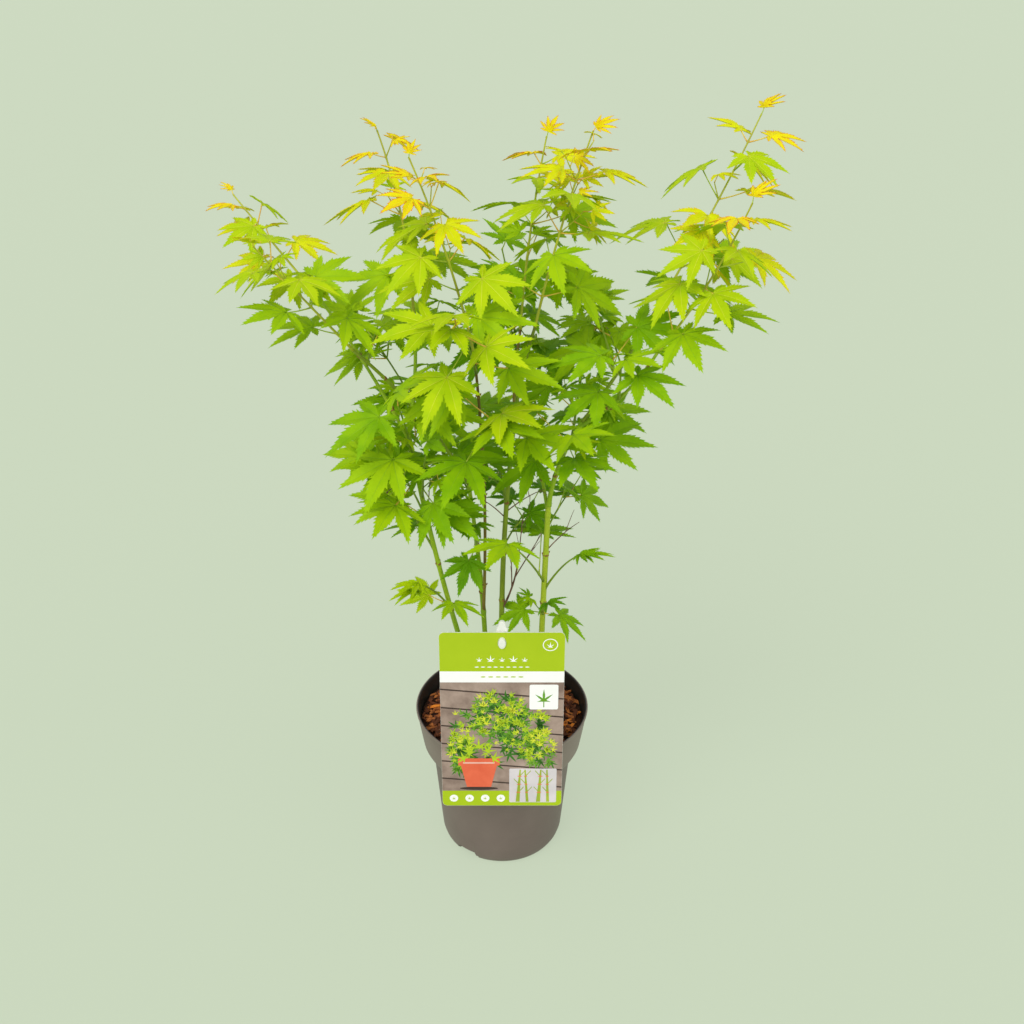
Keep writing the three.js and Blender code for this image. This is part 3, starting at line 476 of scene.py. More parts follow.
def strew_bark(name, tree, light, dark, count, seed):
    """One tint of chips on the mix, as a plain mesh that stays inside the pot's wall."""
    finish = finish_material(name, light, dark, 260, 0.85, relief=0.8, relief_scale=700, specular=0.3)
    chip = chip_shape(name + "_chip", seed, finish)
    disc = bmesh.new()
    bmesh.ops.create_circle(disc, cap_ends=True, segments=64, radius=BARK_BED * MM)
    bmesh.ops.translate(disc, verts=disc.verts, vec=(0, 0, (MIX_TOP + 0.3) * MM))
    mesh = bpy.data.meshes.new(name + "_bed")
    disc.to_mesh(mesh)
    disc.free()
    bed = bpy.data.objects.new(name + "_bed", mesh)
    scene.collection.objects.link(bed)
    strewing = bed.modifiers.new("strewing", "NODES")
    strewing.node_group = tree
    values = {"Chip": chip, "Density": count / (math.pi * (BARK_BED * MM) ** 2), "Seed": seed,
              "Smallest": 0.4, "Largest": 1.1, "Tilt": 0.5, "Finish": finish}
    for item in tree.interface.items_tree:
        if item.item_type == "SOCKET" and item.in_out == "INPUT" and item.name in values:
            strewing[item.identifier] = values[item.name]
    realized = evaluated_mesh(bed, name)
    bpy.data.objects.remove(bed)
    bpy.data.objects.remove(chip)
    for vertex in realized.vertices:
        reach = math.hypot(vertex.co.x, vertex.co.y)
        if reach > MIX_RADIUS * MM:
            vertex.co.xy *= MIX_RADIUS * MM / reach
    chips = bpy.data.objects.new(name, realized)
    scene.collection.objects.link(chips)
    return chips


mix = make_mix()
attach(mix, "root")
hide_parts("potting_mix")
bark_strewing = chip_tree()
for bark_name, (bark_light, bark_dark, bark_count, bark_seed) in BARK_TINTS.items():
    bark = strew_bark(bark_name, bark_strewing, bark_light, bark_dark, bark_count, bark_seed)
    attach(bark, "root")

# The hang card: a thin printed plastic plate with round corners, which leans back on the pot's rim and hangs
# from an oval hole. Its print is laid on in films: a lime head, a white band, a picture of a leafy bush in a
# clay pot on boards, a white tile with a leaf, a small picture of green stems, and a lime foot.
card_low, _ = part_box("label_card")
CARD = {"width": 99, "height": 164, "corner": 4, "thickness": 0.8, "lean": math.radians(5.5),
        "hole": (6.4, 10.0), "hole_up": 154.5, "foot_top": 15, "picture_top": 119, "band_top": 129}
CARD_FRONT_FOOT = Vector((0, card_low.y / MM, card_low.z / MM))
CARD_INKS = {
    "ink_lime": (tone(174, 199, 30), tone(169, 195, 26)),
    "ink_white": (tone(254, 253, 254), tone(248, 247, 246)),
    "ink_boards": (tone(182, 160, 148), tone(128, 108, 98)),
    "ink_board_gap": (tone(74, 60, 54), tone(62, 50, 46)),
    "ink_deep_leaf": (tone(72, 128, 44), tone(52, 104, 34)),
    "ink_leaf": (tone(116, 168, 48), tone(96, 150, 40)),
    "ink_bright_leaf": (tone(186, 210, 44), tone(168, 198, 36)),
    "ink_yellow_leaf": (tone(222, 226, 70), tone(208, 216, 52)),
    "ink_coral": (tone(238, 118, 84), tone(222, 98, 68)),
    "ink_pink": (tone(240, 196, 182), tone(232, 182, 168)),
    "ink_grey": (tone(222, 214, 218), tone(204, 198, 202)),
    "ink_stem": (tone(172, 190, 60), tone(140, 160, 44)),
}
BUSH_CLUMPS = [(-17, 66, 30, 26), (16, 74, 24, 22), (-4, 88, 26, 17), (30, 52, 15, 16), (-36, 50, 11, 18)]
BUSH_LEAVES = [
    # ink, leaves, spread over the clump, size
    ("deep_leaf", 130, 1.00, 8.5), ("leaf", 150, 0.98, 6.5), ("bright_leaf", 130, 0.95, 5.5),
    ("yellow_leaf", 60, 0.9, 4.6)]
MOTIFS = {
    # in millimetres from the card's middle line and its foot, with the corner or the turn last
    "clay_pot": [(-34, 41), (-29, 19), (-9, 19), (-4, 41)], "clay_rim": (-36, 40, -2, 47, 1.2),
    "rim_light": (-32, 42, -6, 43.4, 0.6), "pot_shade": (-19, 17.4, 32, 3.2),
    "pot_leaves": [(-26, 53, 9, 110), (-12, 54, 9, 60), (-19, 58, 9, 90), (-31, 47, 9, 165), (-7, 47, 9, 15)],
    "tile": (22, 94, 45, 117, 1.5), "tile_leaf": (33.5, 102.5, 10.5, 90), "tile_stalk": (33.1, 96, 33.9, 102),
    "small_picture": (6, 3.5, 45, 37, 1.2), "discs": (-40, -27, -14, -1), "disc": (7.5, 7, 7),
    "disc_leaf": (6.7, 2.8, 90), "seal": (38, 153, 12, 11), "seal_inside": (38, 153, 10.6, 9.6),
    "seal_leaf": (38, 151.2, 4.4, 90), "stem_foot": 4, "stem_joints": (0.3, 0.55, 0.8),
}
PRINTED_STEMS = [(13, 2, 36, 1.7), (21, -2, 36, 1.2), (30, 2, 36, 1.8), (38, -1, 36, 1.3)]
HEAD_LEAVES = {"count": 5, "first": -18, "apart": 9, "up": 138.5, "sizes": (3.6, 5.2)}
DASHES = [
    # ink, count, first, apart, up, width, height, top of the film
    ("white", 9, -20, 5, 133, 3.4, 0.9, 0.08), ("bright_leaf", 6, -15, 6, 124, 4.2, 1.2, 0.07)]
BOARDS = {"gaps": 6, "first": 12, "apart": 17, "fall": 9, "gap": 1.3}
FILM, INSET = 0.05, 0.1    # the ground film's thickness, and its edge from the card's
LEAF_FINGERS = ((-104, 0.55), (-52, 0.86), (0, 1.0), (52, 0.86), (104, 0.55))


def card_place(across, up, out):
    """A point of the card, from its middle line, its foot and its front face, in millimetres."""
    back = Vector((0, math.sin(CARD["lean"]), math.cos(CARD["lean"])))
    front = Vector((0, -math.cos(CARD["lean"]), math.sin(CARD["lean"])))
    return CARD_FRONT_FOOT + Vector((across, 0, 0)) + back * up + front * out


def box(left, foot, right, top):
    return [(left, foot), (right, foot), (right, top), (left, top)]


def round_box(left, foot, right, top, corner, steps=5, square=()):
    """Outline of a rectangle with round corners, turning left; sides named in square keep square ones."""
    outline = []
    for x, y, start, side in ((right, foot, -90, "foot"), (right, top, 0, "top"), (left, top, 90, "top"),
                              (left, foot, 180, "foot")):
        if side in square:
            outline.append((x, y))
            continue
        inward = (x - math.copysign(corner, x - (left + right) / 2),
                  y - math.copysign(corner, y - (foot + top) / 2))
        for step in range(steps + 1):
            angle = math.radians(start + 90 * step / steps)
            outline.append((inward[0] + math.cos(angle) * corner, inward[1] + math.sin(angle) * corner))
    return outline


def slab(outlines, inner, outer, place):
    """A closed flat slab between two levels, from one outline and any holes in it."""
    loops = [[Vector((x, y, 0)) for x, y in outline] for outline in outlines]
    flat = [spot for loop in loops for spot in loop]
    count = len(flat)
    points = [place(spot.x, spot.y, level) for level in (outer, inner) for spot in flat]
    faces = []
    for triangle in tessellate_polygon(loops):
        a, b, c = (flat[index] for index in triangle)
        turn = (b.x - a.x) * (c.y - a.y) - (b.y - a.y) * (c.x - a.x)
        triangle = triangle if turn > 0 else tuple(reversed(triangle))
        faces.append(list(triangle))
        faces.append([index + count for index in reversed(triangle)])
    base = 0
    for number, loop in enumerate(loops):
        area = sum(p.x * q.y - q.x * p.y for p, q in zip(loop, loop[1:] + loop[:1]))
        forward = (area > 0) == (number == 0)
        for index in range(len(loop)):
            a, b = base + index, base + (index + 1) % len(loop)
            faces.append([a + count, b + count, b, a] if forward else [a, b, b + count, a + count])
        base += len(loop)
    return points, faces


class Heap:
    """Points and faces of many like shapes, gathered into one piece."""

    def __init__(self):
        self.points, self.faces, self.count = [], [], 0

    def add(self, points, faces):
        self.points.append(np.asarray(points, float))
        self.faces += [[index + self.count for index in face] for face in faces]
        self.count += len(points)

    def piece(self, name, material, smooth=True):
        return piece_from(name, np.concatenate(self.points), self.faces, [material], smooth)


def leaf_motif(x, y, size, turn):
    """A plain pointed leaf of five fingers, as an outline."""
    def spot(bearing, reach):
        bearing = math.radians(turn + bearing)
        return (x + math.cos(bearing) * size * reach, y + math.sin(bearing) * size * reach)

    outline = []
    for number, (angle, reach) in enumerate(LEAF_FINGERS):
        outline += [spot(angle + aside, reach * share) for aside, share in ((-11, 0.5), (0, 1.0), (11, 0.5))]
        if number + 1 < len(LEAF_FINGERS):
            outline.append(spot(angle + 26, 0.2))
    return outline + [spot(180, 0.12)]


def print_card():
    """All the films of the card's print, by ink; each is laid at its own level over the card's face."""
    inks = {name: Heap() for name in CARD_INKS}
    half = CARD["width"] / 2
    edge, corner = half - INSET, CARD["corner"] - INSET
    foot_top, picture_top, band_top = CARD["foot_top"], CARD["picture_top"], CARD["band_top"]

    def lay(ink, outlines, low, high):
        inks["ink_" + ink].add(*slab(outlines, low, high, card_place))

    hole = oval(0, CARD["hole_up"], CARD["hole"][0] + 0.3, CARD["hole"][1] + 0.3)
    head = round_box(-edge, band_top, edge, CARD["height"] - INSET, corner, square=("foot",))
    lay("lime", [head, list(reversed(hole))], 0, FILM)
    lay("lime", [round_box(-edge, INSET, edge, foot_top, corner, square=("top",))], 0, FILM)
    lay("white", [box(-edge, picture_top, edge, band_top)], 0, FILM)
    lay("boards", [box(-edge, foot_top, edge, picture_top)], 0, FILM)
    for number in range(BOARDS["gaps"]):
        foot = foot_top + BOARDS["first"] + number * BOARDS["apart"]
        low, gap = foot - BOARDS["fall"], BOARDS["gap"]
        lay("board_gap", [[(-edge, foot), (edge, low), (edge, low + gap), (-edge, foot + gap)]], FILM, 0.08)
    rng = random.Random(41)
    for level, (ink, count, spread, size) in enumerate(BUSH_LEAVES):
        for _ in range(count):
            x, y, wide, high = rng.choice(BUSH_CLUMPS)
            angle, reach = rng.uniform(0, 2 * math.pi), math.sqrt(rng.uniform(0, 1)) * spread
            spot = (x + math.cos(angle) * wide * reach, y + math.sin(angle) * high * reach + level * 3)
            size_now = size * rng.uniform(0.7, 1.2)
            lowest, highest = foot_top + 4 + size_now, picture_top - 1 - size_now
            if abs(spot[0]) > half - 1.5 - size_now or spot[1] > highest or spot[1] < lowest:
                continue
            turn = math.degrees(math.atan2(spot[1] - y, spot[0] - x)) + rng.uniform(-40, 40)
            lay(ink, [leaf_motif(*spot, size_now, turn)], FILM + level * 0.03, FILM + 0.04 + level * 0.03)
    lay("coral", [MOTIFS["clay_pot"]], FILM, 0.24)
    lay("coral", [round_box(*MOTIFS["clay_rim"])], FILM, 0.26)
    lay("pink", [round_box(*MOTIFS["rim_light"])], 0.26, 0.28)
    lay("board_gap", [oval(*MOTIFS["pot_shade"])], FILM, 0.07)
    for pot_leaf in MOTIFS["pot_leaves"]:
        lay("bright_leaf", [leaf_motif(*pot_leaf)], 0.24, 0.30)
    lay("white", [round_box(*MOTIFS["tile"])], 0.2, 0.27)
    lay("leaf", [leaf_motif(*MOTIFS["tile_leaf"])], 0.27, 0.29)
    lay("leaf", [box(*MOTIFS["tile_stalk"])], 0.27, 0.29)
    lay("grey", [round_box(*MOTIFS["small_picture"])], FILM, 0.22)
    foot = MOTIFS["stem_foot"]
    for x, lean, top, wide in PRINTED_STEMS:
        stem = [(x - wide, foot), (x + wide, foot), (x + lean + 0.6, top), (x + lean - 0.6, top)]
        lay("stem", [stem], 0.22, 0.25)
        for number, knot in enumerate(MOTIFS["stem_joints"]):
            middle, up = x + lean * knot, foot + (top - foot) * knot
            side = 1 if (number + int(x)) % 2 else -1
            twig = [(middle, up - 0.6), (middle + side * 4.4, up + 5), (middle + side * 4.2, up + 5.8),
                    (middle, up + 0.7)]
            lay("stem", [twig[::side]], 0.22, 0.26)
            lay("coral", [oval(middle, up, 2.4 * wide, 0.9, 10)], 0.26, 0.27)
    for x in MOTIFS["discs"]:
        lay("white", [oval(x, *MOTIFS["disc"])], FILM, 0.09)
        lay("lime", [leaf_motif(x, *MOTIFS["disc_leaf"])], 0.09, 0.11)
    for number in range(HEAD_LEAVES["count"]):
        x = HEAD_LEAVES["first"] + number * HEAD_LEAVES["apart"]
        lay("white", [leaf_motif(x, HEAD_LEAVES["up"], HEAD_LEAVES["sizes"][number % 2], 90)], FILM, 0.08)
    for ink, count, first, apart, up, wide, high, top in DASHES:
        for number in range(count):
            lay(ink, [oval(first + number * apart, up, wide, high, 12)], FILM, top)
    lay("white", [oval(*MOTIFS["seal"]), list(reversed(oval(*MOTIFS["seal_inside"])))], FILM, 0.08)
    lay("white", [leaf_motif(*MOTIFS["seal_leaf"])], FILM, 0.08)
    return inks


def make_card():
    half = CARD["width"] / 2
    outline = round_box(-half, 0, half, CARD["height"], CARD["corner"], 8)
    hole = oval(0, CARD["hole_up"], *CARD["hole"])
    points, faces = slab([outline, list(reversed(hole))], -CARD["thickness"], 0, card_place)
    sheet = finish_material("card_sheet", tone(236, 238, 230), tone(226, 228, 218), 60, 0.4, relief=0.03,
                            relief_scale=800)
    return piece_from("hang_card", points, faces, [sheet], smooth=False)


card = make_card()
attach(card, "root")
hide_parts("label_card")
for ink_name, films in print_card().items():
    ink = finish_material(ink_name, *CARD_INKS[ink_name], 45, 0.4, relief=0.02, relief_scale=900,
                          specular=0.2)
    film = films.piece("card_" + ink_name, ink, smooth=False)
    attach(film, "root")

# The peg: a flat stake of white moulded plastic pushed into the mix behind the card. Its tab goes through the
# card's hole, and its rounded head stands just above the card.
peg_low, peg_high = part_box("label_peg")
PEG = {"half_width": 4.25, "thickness": 2.2, "point": 8.5, "head_round": 2.6, "bevel": 0.45,
       "tab": (5.8, 9.4), "tab_up": 0.3, "tab_root": 0.6, "tab_out": 1.7, "tab_bevel": 0.5}
PEG_NECK = [(4.25, 6.8), (3.9, 6.3), (3.0, 6.1), (2.95, 4.6), (2.75, 3.2)]    # half width, down from the top


def bevelled(name, points, faces, material, width):
    """A plate with its edges rounded."""
    made = piece_from(name, points, faces, [material], smooth=False)
    rounding = made.modifiers.new("rounding", "BEVEL")
    rounding.width = width * MM
    rounding.segments = 3
    rounding.limit_method = "ANGLE"
    rounding.angle_limit = math.radians(40)
    return crisp(made, evaluated_mesh(made, name), 35)


def make_peg():
    foot, top, back = peg_low.z / MM, peg_high.z / MM, peg_high.y / MM
    front = back - PEG["thickness"]
    round_head, thick = PEG["head_round"], (back - front) / 2
    side = [(0.001, foot), (PEG["half_width"], foot + PEG["point"])]
    side += [(half, top - down) for half, down in PEG_NECK]
    side += [(math.cos(turn) * round_head, top - round_head + math.sin(turn) * round_head)
             for turn in map(math.radians, range(15, 90, 15))]
    outline = side + [(0, top)] + [(-x, z) for x, z in reversed(side)]

    def upright(across, up, out):
        return Vector((across, (front + back) / 2 - out, up))

    white = finish_material("peg_plastic", tone(240, 241, 234), tone(228, 229, 220), 70, 0.42, relief=0.04,
                            relief_scale=700)
    points, faces = slab([outline], -thick, thick, upright)
    stake = bevelled("peg_stake", points, faces, white, PEG["bevel"])
    hole = card_place(0, CARD["hole_up"] + PEG["tab_up"], 0)

    def through(across, up, out):
        return Vector((across, hole.y - out, hole.z + up))

    root = -(front - hole.y) - PEG["tab_root"]
    points, faces = slab([oval(0, 0, *PEG["tab"], 20)], root, PEG["tab_out"], through)
    return stake, bevelled("peg_tab", points, faces, white, PEG["tab_bevel"])


for peg_piece in make_peg():
    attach(peg_piece, "root")
    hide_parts("label_peg")

# The stems and boughs: smooth young bark, bright green below, olive to brown where it is older or in shade.
# They taper, are swollen at every joint where a pair of leaves once sat, with a rusty scar ring and a pair of
# small buds, and flare out where they leave the mix. Each bough grows out of its parent with a collar.
Limb = namedtuple("Limb", "name parent at tip bend diameters bark")
LIMBS = [Limb(*row) for row in (
    # name, parent or None, place along it or its foot, tip, bend of the middle, diameters, bark
    ("stem_left", None, (-13, -6), (-71, -14, 406), (-10, 1, -2), (4.8, 3.4), "green"),
    ("stem_left_centre", None, (-13, 10), (-27, 14, 349), (7, 0, 1), (4.6, 3.4), "green"),
    ("stem_centre", None, (1, 0), (10, 0, 413), (-10, 0, 0), (5.4, 3.2), "olive"),
    ("stem_right", None, (33, -2), (37, -4, 338), (-2, 0, 0), (5.8, 4.2), "bright"),
    ("bough_left", "stem_left_centre", 1, (-108, -20, 474), (10, 4, 6), (3.2, 2.4), "olive"),
    ("bough_left_top", "stem_left", 1, (-65, 2, 494), (6, 0, 0), (3, 2.4), "green"),
    ("bough_left_back", "stem_left", 0.97, (-138, 25, 500), (4, 0, 4), (2.8, 2.1), "green"),
    ("bough_thin", "stem_left_centre", 0.45, (-20, -25, 472), (8, -2, 4), (2.8, 2.1), "brown"),
    ("bough_centre_front", "stem_centre", 1, (24, -10, 488), (-4, -2, 0), (2.9, 2.3), "olive"),
    ("bough_centre_back", "stem_centre", 0.97, (14, 26, 474), (-3, 6, 0), (2.8, 2.2), "brown"),
    ("bough_right", "stem_right", 1, (61, -10, 413), (-8, 0, 3), (3.8, 3.2), "green"),
    ("bough_right_inner", "stem_right", 0.96, (12, 32, 414), (6, -4, 6), (3, 2.4), "green"),
    ("bough_right_back", "bough_right", 1, (107, 15, 479), (3, 0, -2), (3, 2.3), "olive"),
    ("bough_right_front", "bough_right", 0.94, (112, -27, 475), (8, -4, -6), (2.9, 2.3), "green"),
)]
GAP = 0.3
LIMB_SIDES, RING_SPACING = 12, 7
FLARE, FLARE_HEIGHT = 0.9, 9
COLLAR, COLLAR_LENGTH = 0.35, 4
FOOT_RINGS = (1, 2.5, 4.5, 7, 10, 14)
JOINT = {"spacing": 46, "clear": 16, "rings": (-4.5, -2.6, -1.4, -0.6, 0, 0.6, 1.4, 2.6, 4.5),
         "swelling": (0.17, 1.9)}
SCAR = {"rings": (-0.9, -0.45, 0, 0.45, 0.9), "girth": (1.1, 1.2, 1.235, 1.2, 1.1)}
BUD = {"length": (1.8, 2.8), "width": 1.3, "stations": (0, 0.25, 0.55, 0.85, 1),
       "girth": (0.35, 0.55, 0.5, 0.2)}


class Curve:
    """A quadratic curve from a foot to a tip, with its middle bent aside."""

    def __init__(self, start, tip, bend):
        self.start, self.tip = Vector(start), Vector(tip)
        self.middle = (self.start + self.tip) / 2 + Vector(bend)

    def point(self, share):
        back = 1 - share
        return self.start * back * back + self.middle * (2 * share * back) + self.tip * (share * share)

    def spots(self, shares):
        return [tuple(self.point(share)) for share in shares]

    def tangent(self, share):
        return ((self.middle - self.start) * (1 - share) + (self.tip - self.middle) * share).normalized()

    def length(self):
        spots = [self.point(step / 40) for step in range(41)]
        return sum((b - a).length for a, b in zip(spots, spots[1:]))


def mixed(low, high, share):
    return low + (high - low) * share


def tube(spots, radii, sides, rough=None):
    """A closed round limb through a row of points; rough gives a share of relief for a ring and a side."""
    spots = np.asarray(spots, float)
    along = np.gradient(spots, axis=0)
    along /= np.linalg.norm(along, axis=1)[:, None]
    side = np.cross(along[0], (0.0, 1.0, 0.0) if abs(along[0][1]) < 0.8 else (1.0, 0.0, 0.0))
    points = []
    for ring, (spot, way, radius) in enumerate(zip(spots, along, radii)):
        side = side - way * np.dot(side, way)
        side /= np.linalg.norm(side)
        front = np.cross(way, side)
        for number in range(sides):
            angle = 2 * math.pi * number / sides
            reach = radius * (1 + (rough(ring, number) if rough else 0))
            points.append(spot + (side * math.cos(angle) + front * math.sin(angle)) * reach)
    first, last = len(points), len(points) + 1
    points += [spots[0], spots[-1]]
    rings = [list(range(ring * sides, ring * sides + sides)) for ring in range(len(spots))]
    faces = bands(rings)
    faces += [[first, (n + 1) % sides, n] for n in range(sides)]
    faces += [[last, rings[-1][n], rings[-1][(n + 1) % sides]] for n in range(sides)]
    return points, faces


def ring_places(length, spacing, knots, offsets, extra=()):
    """Shares of a limb's length at which its tube has a ring: even, and closer about every joint."""
    shares = set(np.linspace(0, 1, int(length / spacing) + 2))
    for knot in knots:
        shares.update(knot + offset / length for offset in offsets)
    shares.update(offset / length for offset in extra)
    return sorted(share for share in shares if 0 <= share <= 1)


def swelling(share, length, knots, size, spread):
    """How much thicker a limb is here for the joints near by."""
    return 1 + sum(size * math.exp(-(((share - knot) * length) / spread) ** 2) for knot in knots)


BARKS = {name: finish_material(name + "_bark", *rest, specular=0.3, relief_scale=500, stretch=(1, 1, 0.25),
                               balance=balance, relief=relief) for name, rest, balance, relief in (
    ("bright", (tone(190, 208, 50), tone(156, 182, 40), 55, 0.55), -0.1, 0.25),
    ("green", (tone(164, 194, 34), tone(122, 162, 24), 55, 0.55), -0.05, 0.25),
    ("olive", (tone(150, 176, 40), tone(106, 122, 30), 45, 0.6), 0.0, 0.3),
    ("brown", (tone(146, 132, 52), tone(100, 76, 38), 60, 0.6), 0.0, 0.35),
)}
limb_curves = {}
for row in LIMBS:
    start = limb_curves[row.parent].point(row.at) if row.parent else Vector((*row.at, MIX_TOP + GAP))
    limb_curves[row.name] = Curve(start, row.tip, row.bend)
scar_rings, buds = Heap(), Heap()


def bud(spot, way, outward, length, width):
    """A small pointed bud that lies against the bark."""
    tip = spot + (way * 0.8 + outward * 0.6).normalized() * length
    spots = [tuple(spot.lerp(tip, share)) for share in BUD["stations"]]
    return tube(spots, [width * share for share in BUD["girth"]] + [0.05], 6)


def make_limb(row, seed):
    rng = random.Random(seed)
    curve = limb_curves[row.name]
    length = curve.length()
    children = [other.at for other in LIMBS if other.parent == row.name and other.at < 1]
    joints = [at / length for at in np.arange(JOINT["spacing"] * 0.6, length - 12, JOINT["spacing"])]
    joints = [joint for joint in joints
              if all(abs(joint - child) * length > JOINT["clear"] for child in children)]
    knots = sorted(joints + children)
    shares = ring_places(length, RING_SPACING, knots, JOINT["rings"], FOOT_RINGS)
    size, reach = (COLLAR, COLLAR_LENGTH) if row.parent else (FLARE, FLARE_HEIGHT)
    radii = [mixed(*row.diameters, share) / 2 * (1 + size * math.exp(-share * length / reach))
             * swelling(share, length, knots, *JOINT["swelling"]) for share in shares]
    ridges = [(rng.uniform(0, 6.3), rng.uniform(0.02, 0.05)) for _ in range(3)]

    def rough(ring, number):
        angle = 2 * math.pi * number / LIMB_SIDES
        return sum(size * math.sin(angle * (wave + 2) + phase + shares[ring] * 9)
                   for wave, (phase, size) in enumerate(ridges))

    points, faces = tube(curve.spots(shares), radii, LIMB_SIDES, rough)
    limb = piece_from(row.name + "_bark", points, faces, [BARKS[row.bark]])
    turn = rng.uniform(0, math.pi)
    for number, knot in enumerate(joints):
        way = curve.tangent(knot)
        radius = mixed(*row.diameters, knot) / 2
        ring = [tuple(curve.point(knot) + way * offset) for offset in SCAR["rings"]]
        scar_rings.add(*tube(ring, [radius * girth for girth in SCAR["girth"]], LIMB_SIDES))
        side = way.cross(Vector((0, 1, 0))).normalized()
        for half in (0, 1):
            outward = Matrix.Rotation(turn + number * math.pi / 2 + half * math.pi, 3, way) @ side
            base = curve.point(knot) + outward * radius * 0.95 + way * 0.8
            buds.add(*bud(base, way, outward, rng.uniform(*BUD["length"]), BUD["width"]))
    return limb


for number, row in enumerate(LIMBS):
    limb = make_limb(row, 100 + number)
    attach(limb, "root")
    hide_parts(row.name)
rust = finish_material("rusty_scar", tone(160, 128, 50), tone(120, 90, 40), 300, 0.65, relief=0.3,
                       relief_scale=900)
bud_skin = finish_material("bud_skin", tone(164, 112, 50), tone(122, 76, 40), 300, 0.6, relief=0.2,
                           relief_scale=900)
for heap, heap_name, skin in ((scar_rings, "scar_rings", rust), (buds, "winter_buds", bud_skin)):
    piece = heap.piece(heap_name, skin)
    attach(piece, "root")

# The dead shoot: a last year's shoot low on the middle stem that died back and lost its bark's green. It is
# dry, brown-purple and no thicker than wire, and forks into a fan of bare twigs.
BARE = {"parent": "stem_centre", "at": 0.385, "tip": (14, -9, 296), "bend": (4, -2, -3), "twigs": 3,
        "from": 0.45, "length": 46, "open": 17, "seed": 6, "thick": (1.9, 1.1), "twig": (1.1, 0.5),
        "forks": (0.35, 0.6, 0.8), "fork": (0.6, 0.3)}
dry = finish_material("dry_twig", tone(136, 98, 74), tone(88, 58, 48), 180, 0.75, relief=0.4,
                      relief_scale=700)


def chance(seed, place, draw):
    """A seeded number from 0 to 1 for one draw at one place on the plant."""
    stirred = (seed * 7919 + place * 10473 + draw * 1543 + 17) & 0xFFFFFFFF
    stirred = ((stirred ^ (stirred >> 15)) * 0x85EBCA6B) & 0xFFFFFFFF
    stirred = ((stirred ^ (stirred >> 13)) * 0xC2B2AE35) & 0xFFFFFFFF
    return (stirred ^ (stirred >> 16)) / 4294967296


def wiry(heap, start, tip, bow, thick, thin, sides=6, steps=8):
    """A thin twig with a knot at every third ring, from a start to a tip."""
    curve = Curve(start, tip, bow)
    shares = [step / steps for step in range(steps + 1)]
    radii = [mixed(thick, thin, share) / 2 * (1 if step % 3 else 1.12) for step, share in enumerate(shares)]
    heap.add(*tube(curve.spots(shares), radii, sides))
    return curve


def make_bare_shoot():
    heap = Heap()
    start = limb_curves[BARE["parent"]].point(BARE["at"])
    stem = wiry(heap, start, BARE["tip"], BARE["bend"], *BARE["thick"], steps=12)
    rng = random.Random(BARE["seed"])
    for number in range(BARE["twigs"]):
        at = BARE["from"] + number * (1 - BARE["from"]) / BARE["twigs"]
        way = stem.tangent(at)
        side = way.cross(Vector((0, 1, 0))).normalized()
        side = Matrix.Rotation((number + chance(BARE["seed"], number, 0)) * math.pi, 3, way) @ side
        way = Matrix.Rotation(math.radians(BARE["open"]), 3, side) @ way
        base = stem.point(at)
        twig = wiry(heap, base, base + way * BARE["length"], (0, 0, 0), *BARE["twig"])
        for fork in BARE["forks"]:
            turn = Matrix.Rotation(rng.uniform(-0.7, 0.7), 3, side)
            turn = turn @ Matrix.Rotation(rng.uniform(-0.5, 0.5), 3, "Y")
            branch = twig.point(fork)
            reach = rng.uniform(9, 20) * (1.1 - fork * 0.5)
            wiry(heap, branch, branch + (turn @ way) * reach, (0, 0, 0), *BARE["fork"], 5, 5)
    return heap.piece("dead_twigs", dry)


bare_shoot = make_bare_shoot()
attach(bare_shoot, "root")
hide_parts("dead_shoot")

# Dry twigs: the ends of older side shoots, leafless, grey-brown and thin as thread, that still stand off the
# stems among the lowest leaves. Each forks once or more.
DRY_TWIGS = [
    # limb, place along it, tip, forks as place along the twig and tip
    ("stem_centre", 0.71, (34, -4, 353),
     ((0.6, (20, -2, 352)), (0.62, (22, -6, 334)), (0.85, (36, -1, 346)))),
    ("stem_centre", 0.69, (-18, -3, 344), ((0.7, (-20, -6, 338)),)),
    ("stem_left", 0.87, (-96, -16, 350), ((0.5, (-86, -18, 366)), (0.75, (-92, -22, 342)))),
    ("stem_left", 0.70, (-54, -22, 377), ((0.5, (-59, -26, 362)), (0.8, (-49, -25, 374)))),
    ("stem_right", 0.80, (62, -2, 322), ((0.6, (58, 4, 330)),)),
]


def make_dry_twigs():
    heap = Heap()
    for limb, place, tip, forks in DRY_TWIGS:
        bow = Vector((tip[1] * 0.1, 0, 4))
        twig = wiry(heap, limb_curves[limb].point(place), tip, bow, 1.1, 0.5)
        for share, end in forks:
            wiry(heap, twig.point(share), end, (0, 0, 1.5), 0.7, 0.35, 5, 5)
    return heap.piece("dry_side_twigs", dry)


dry_twigs = make_dry_twigs()
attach(dry_twigs, "root")

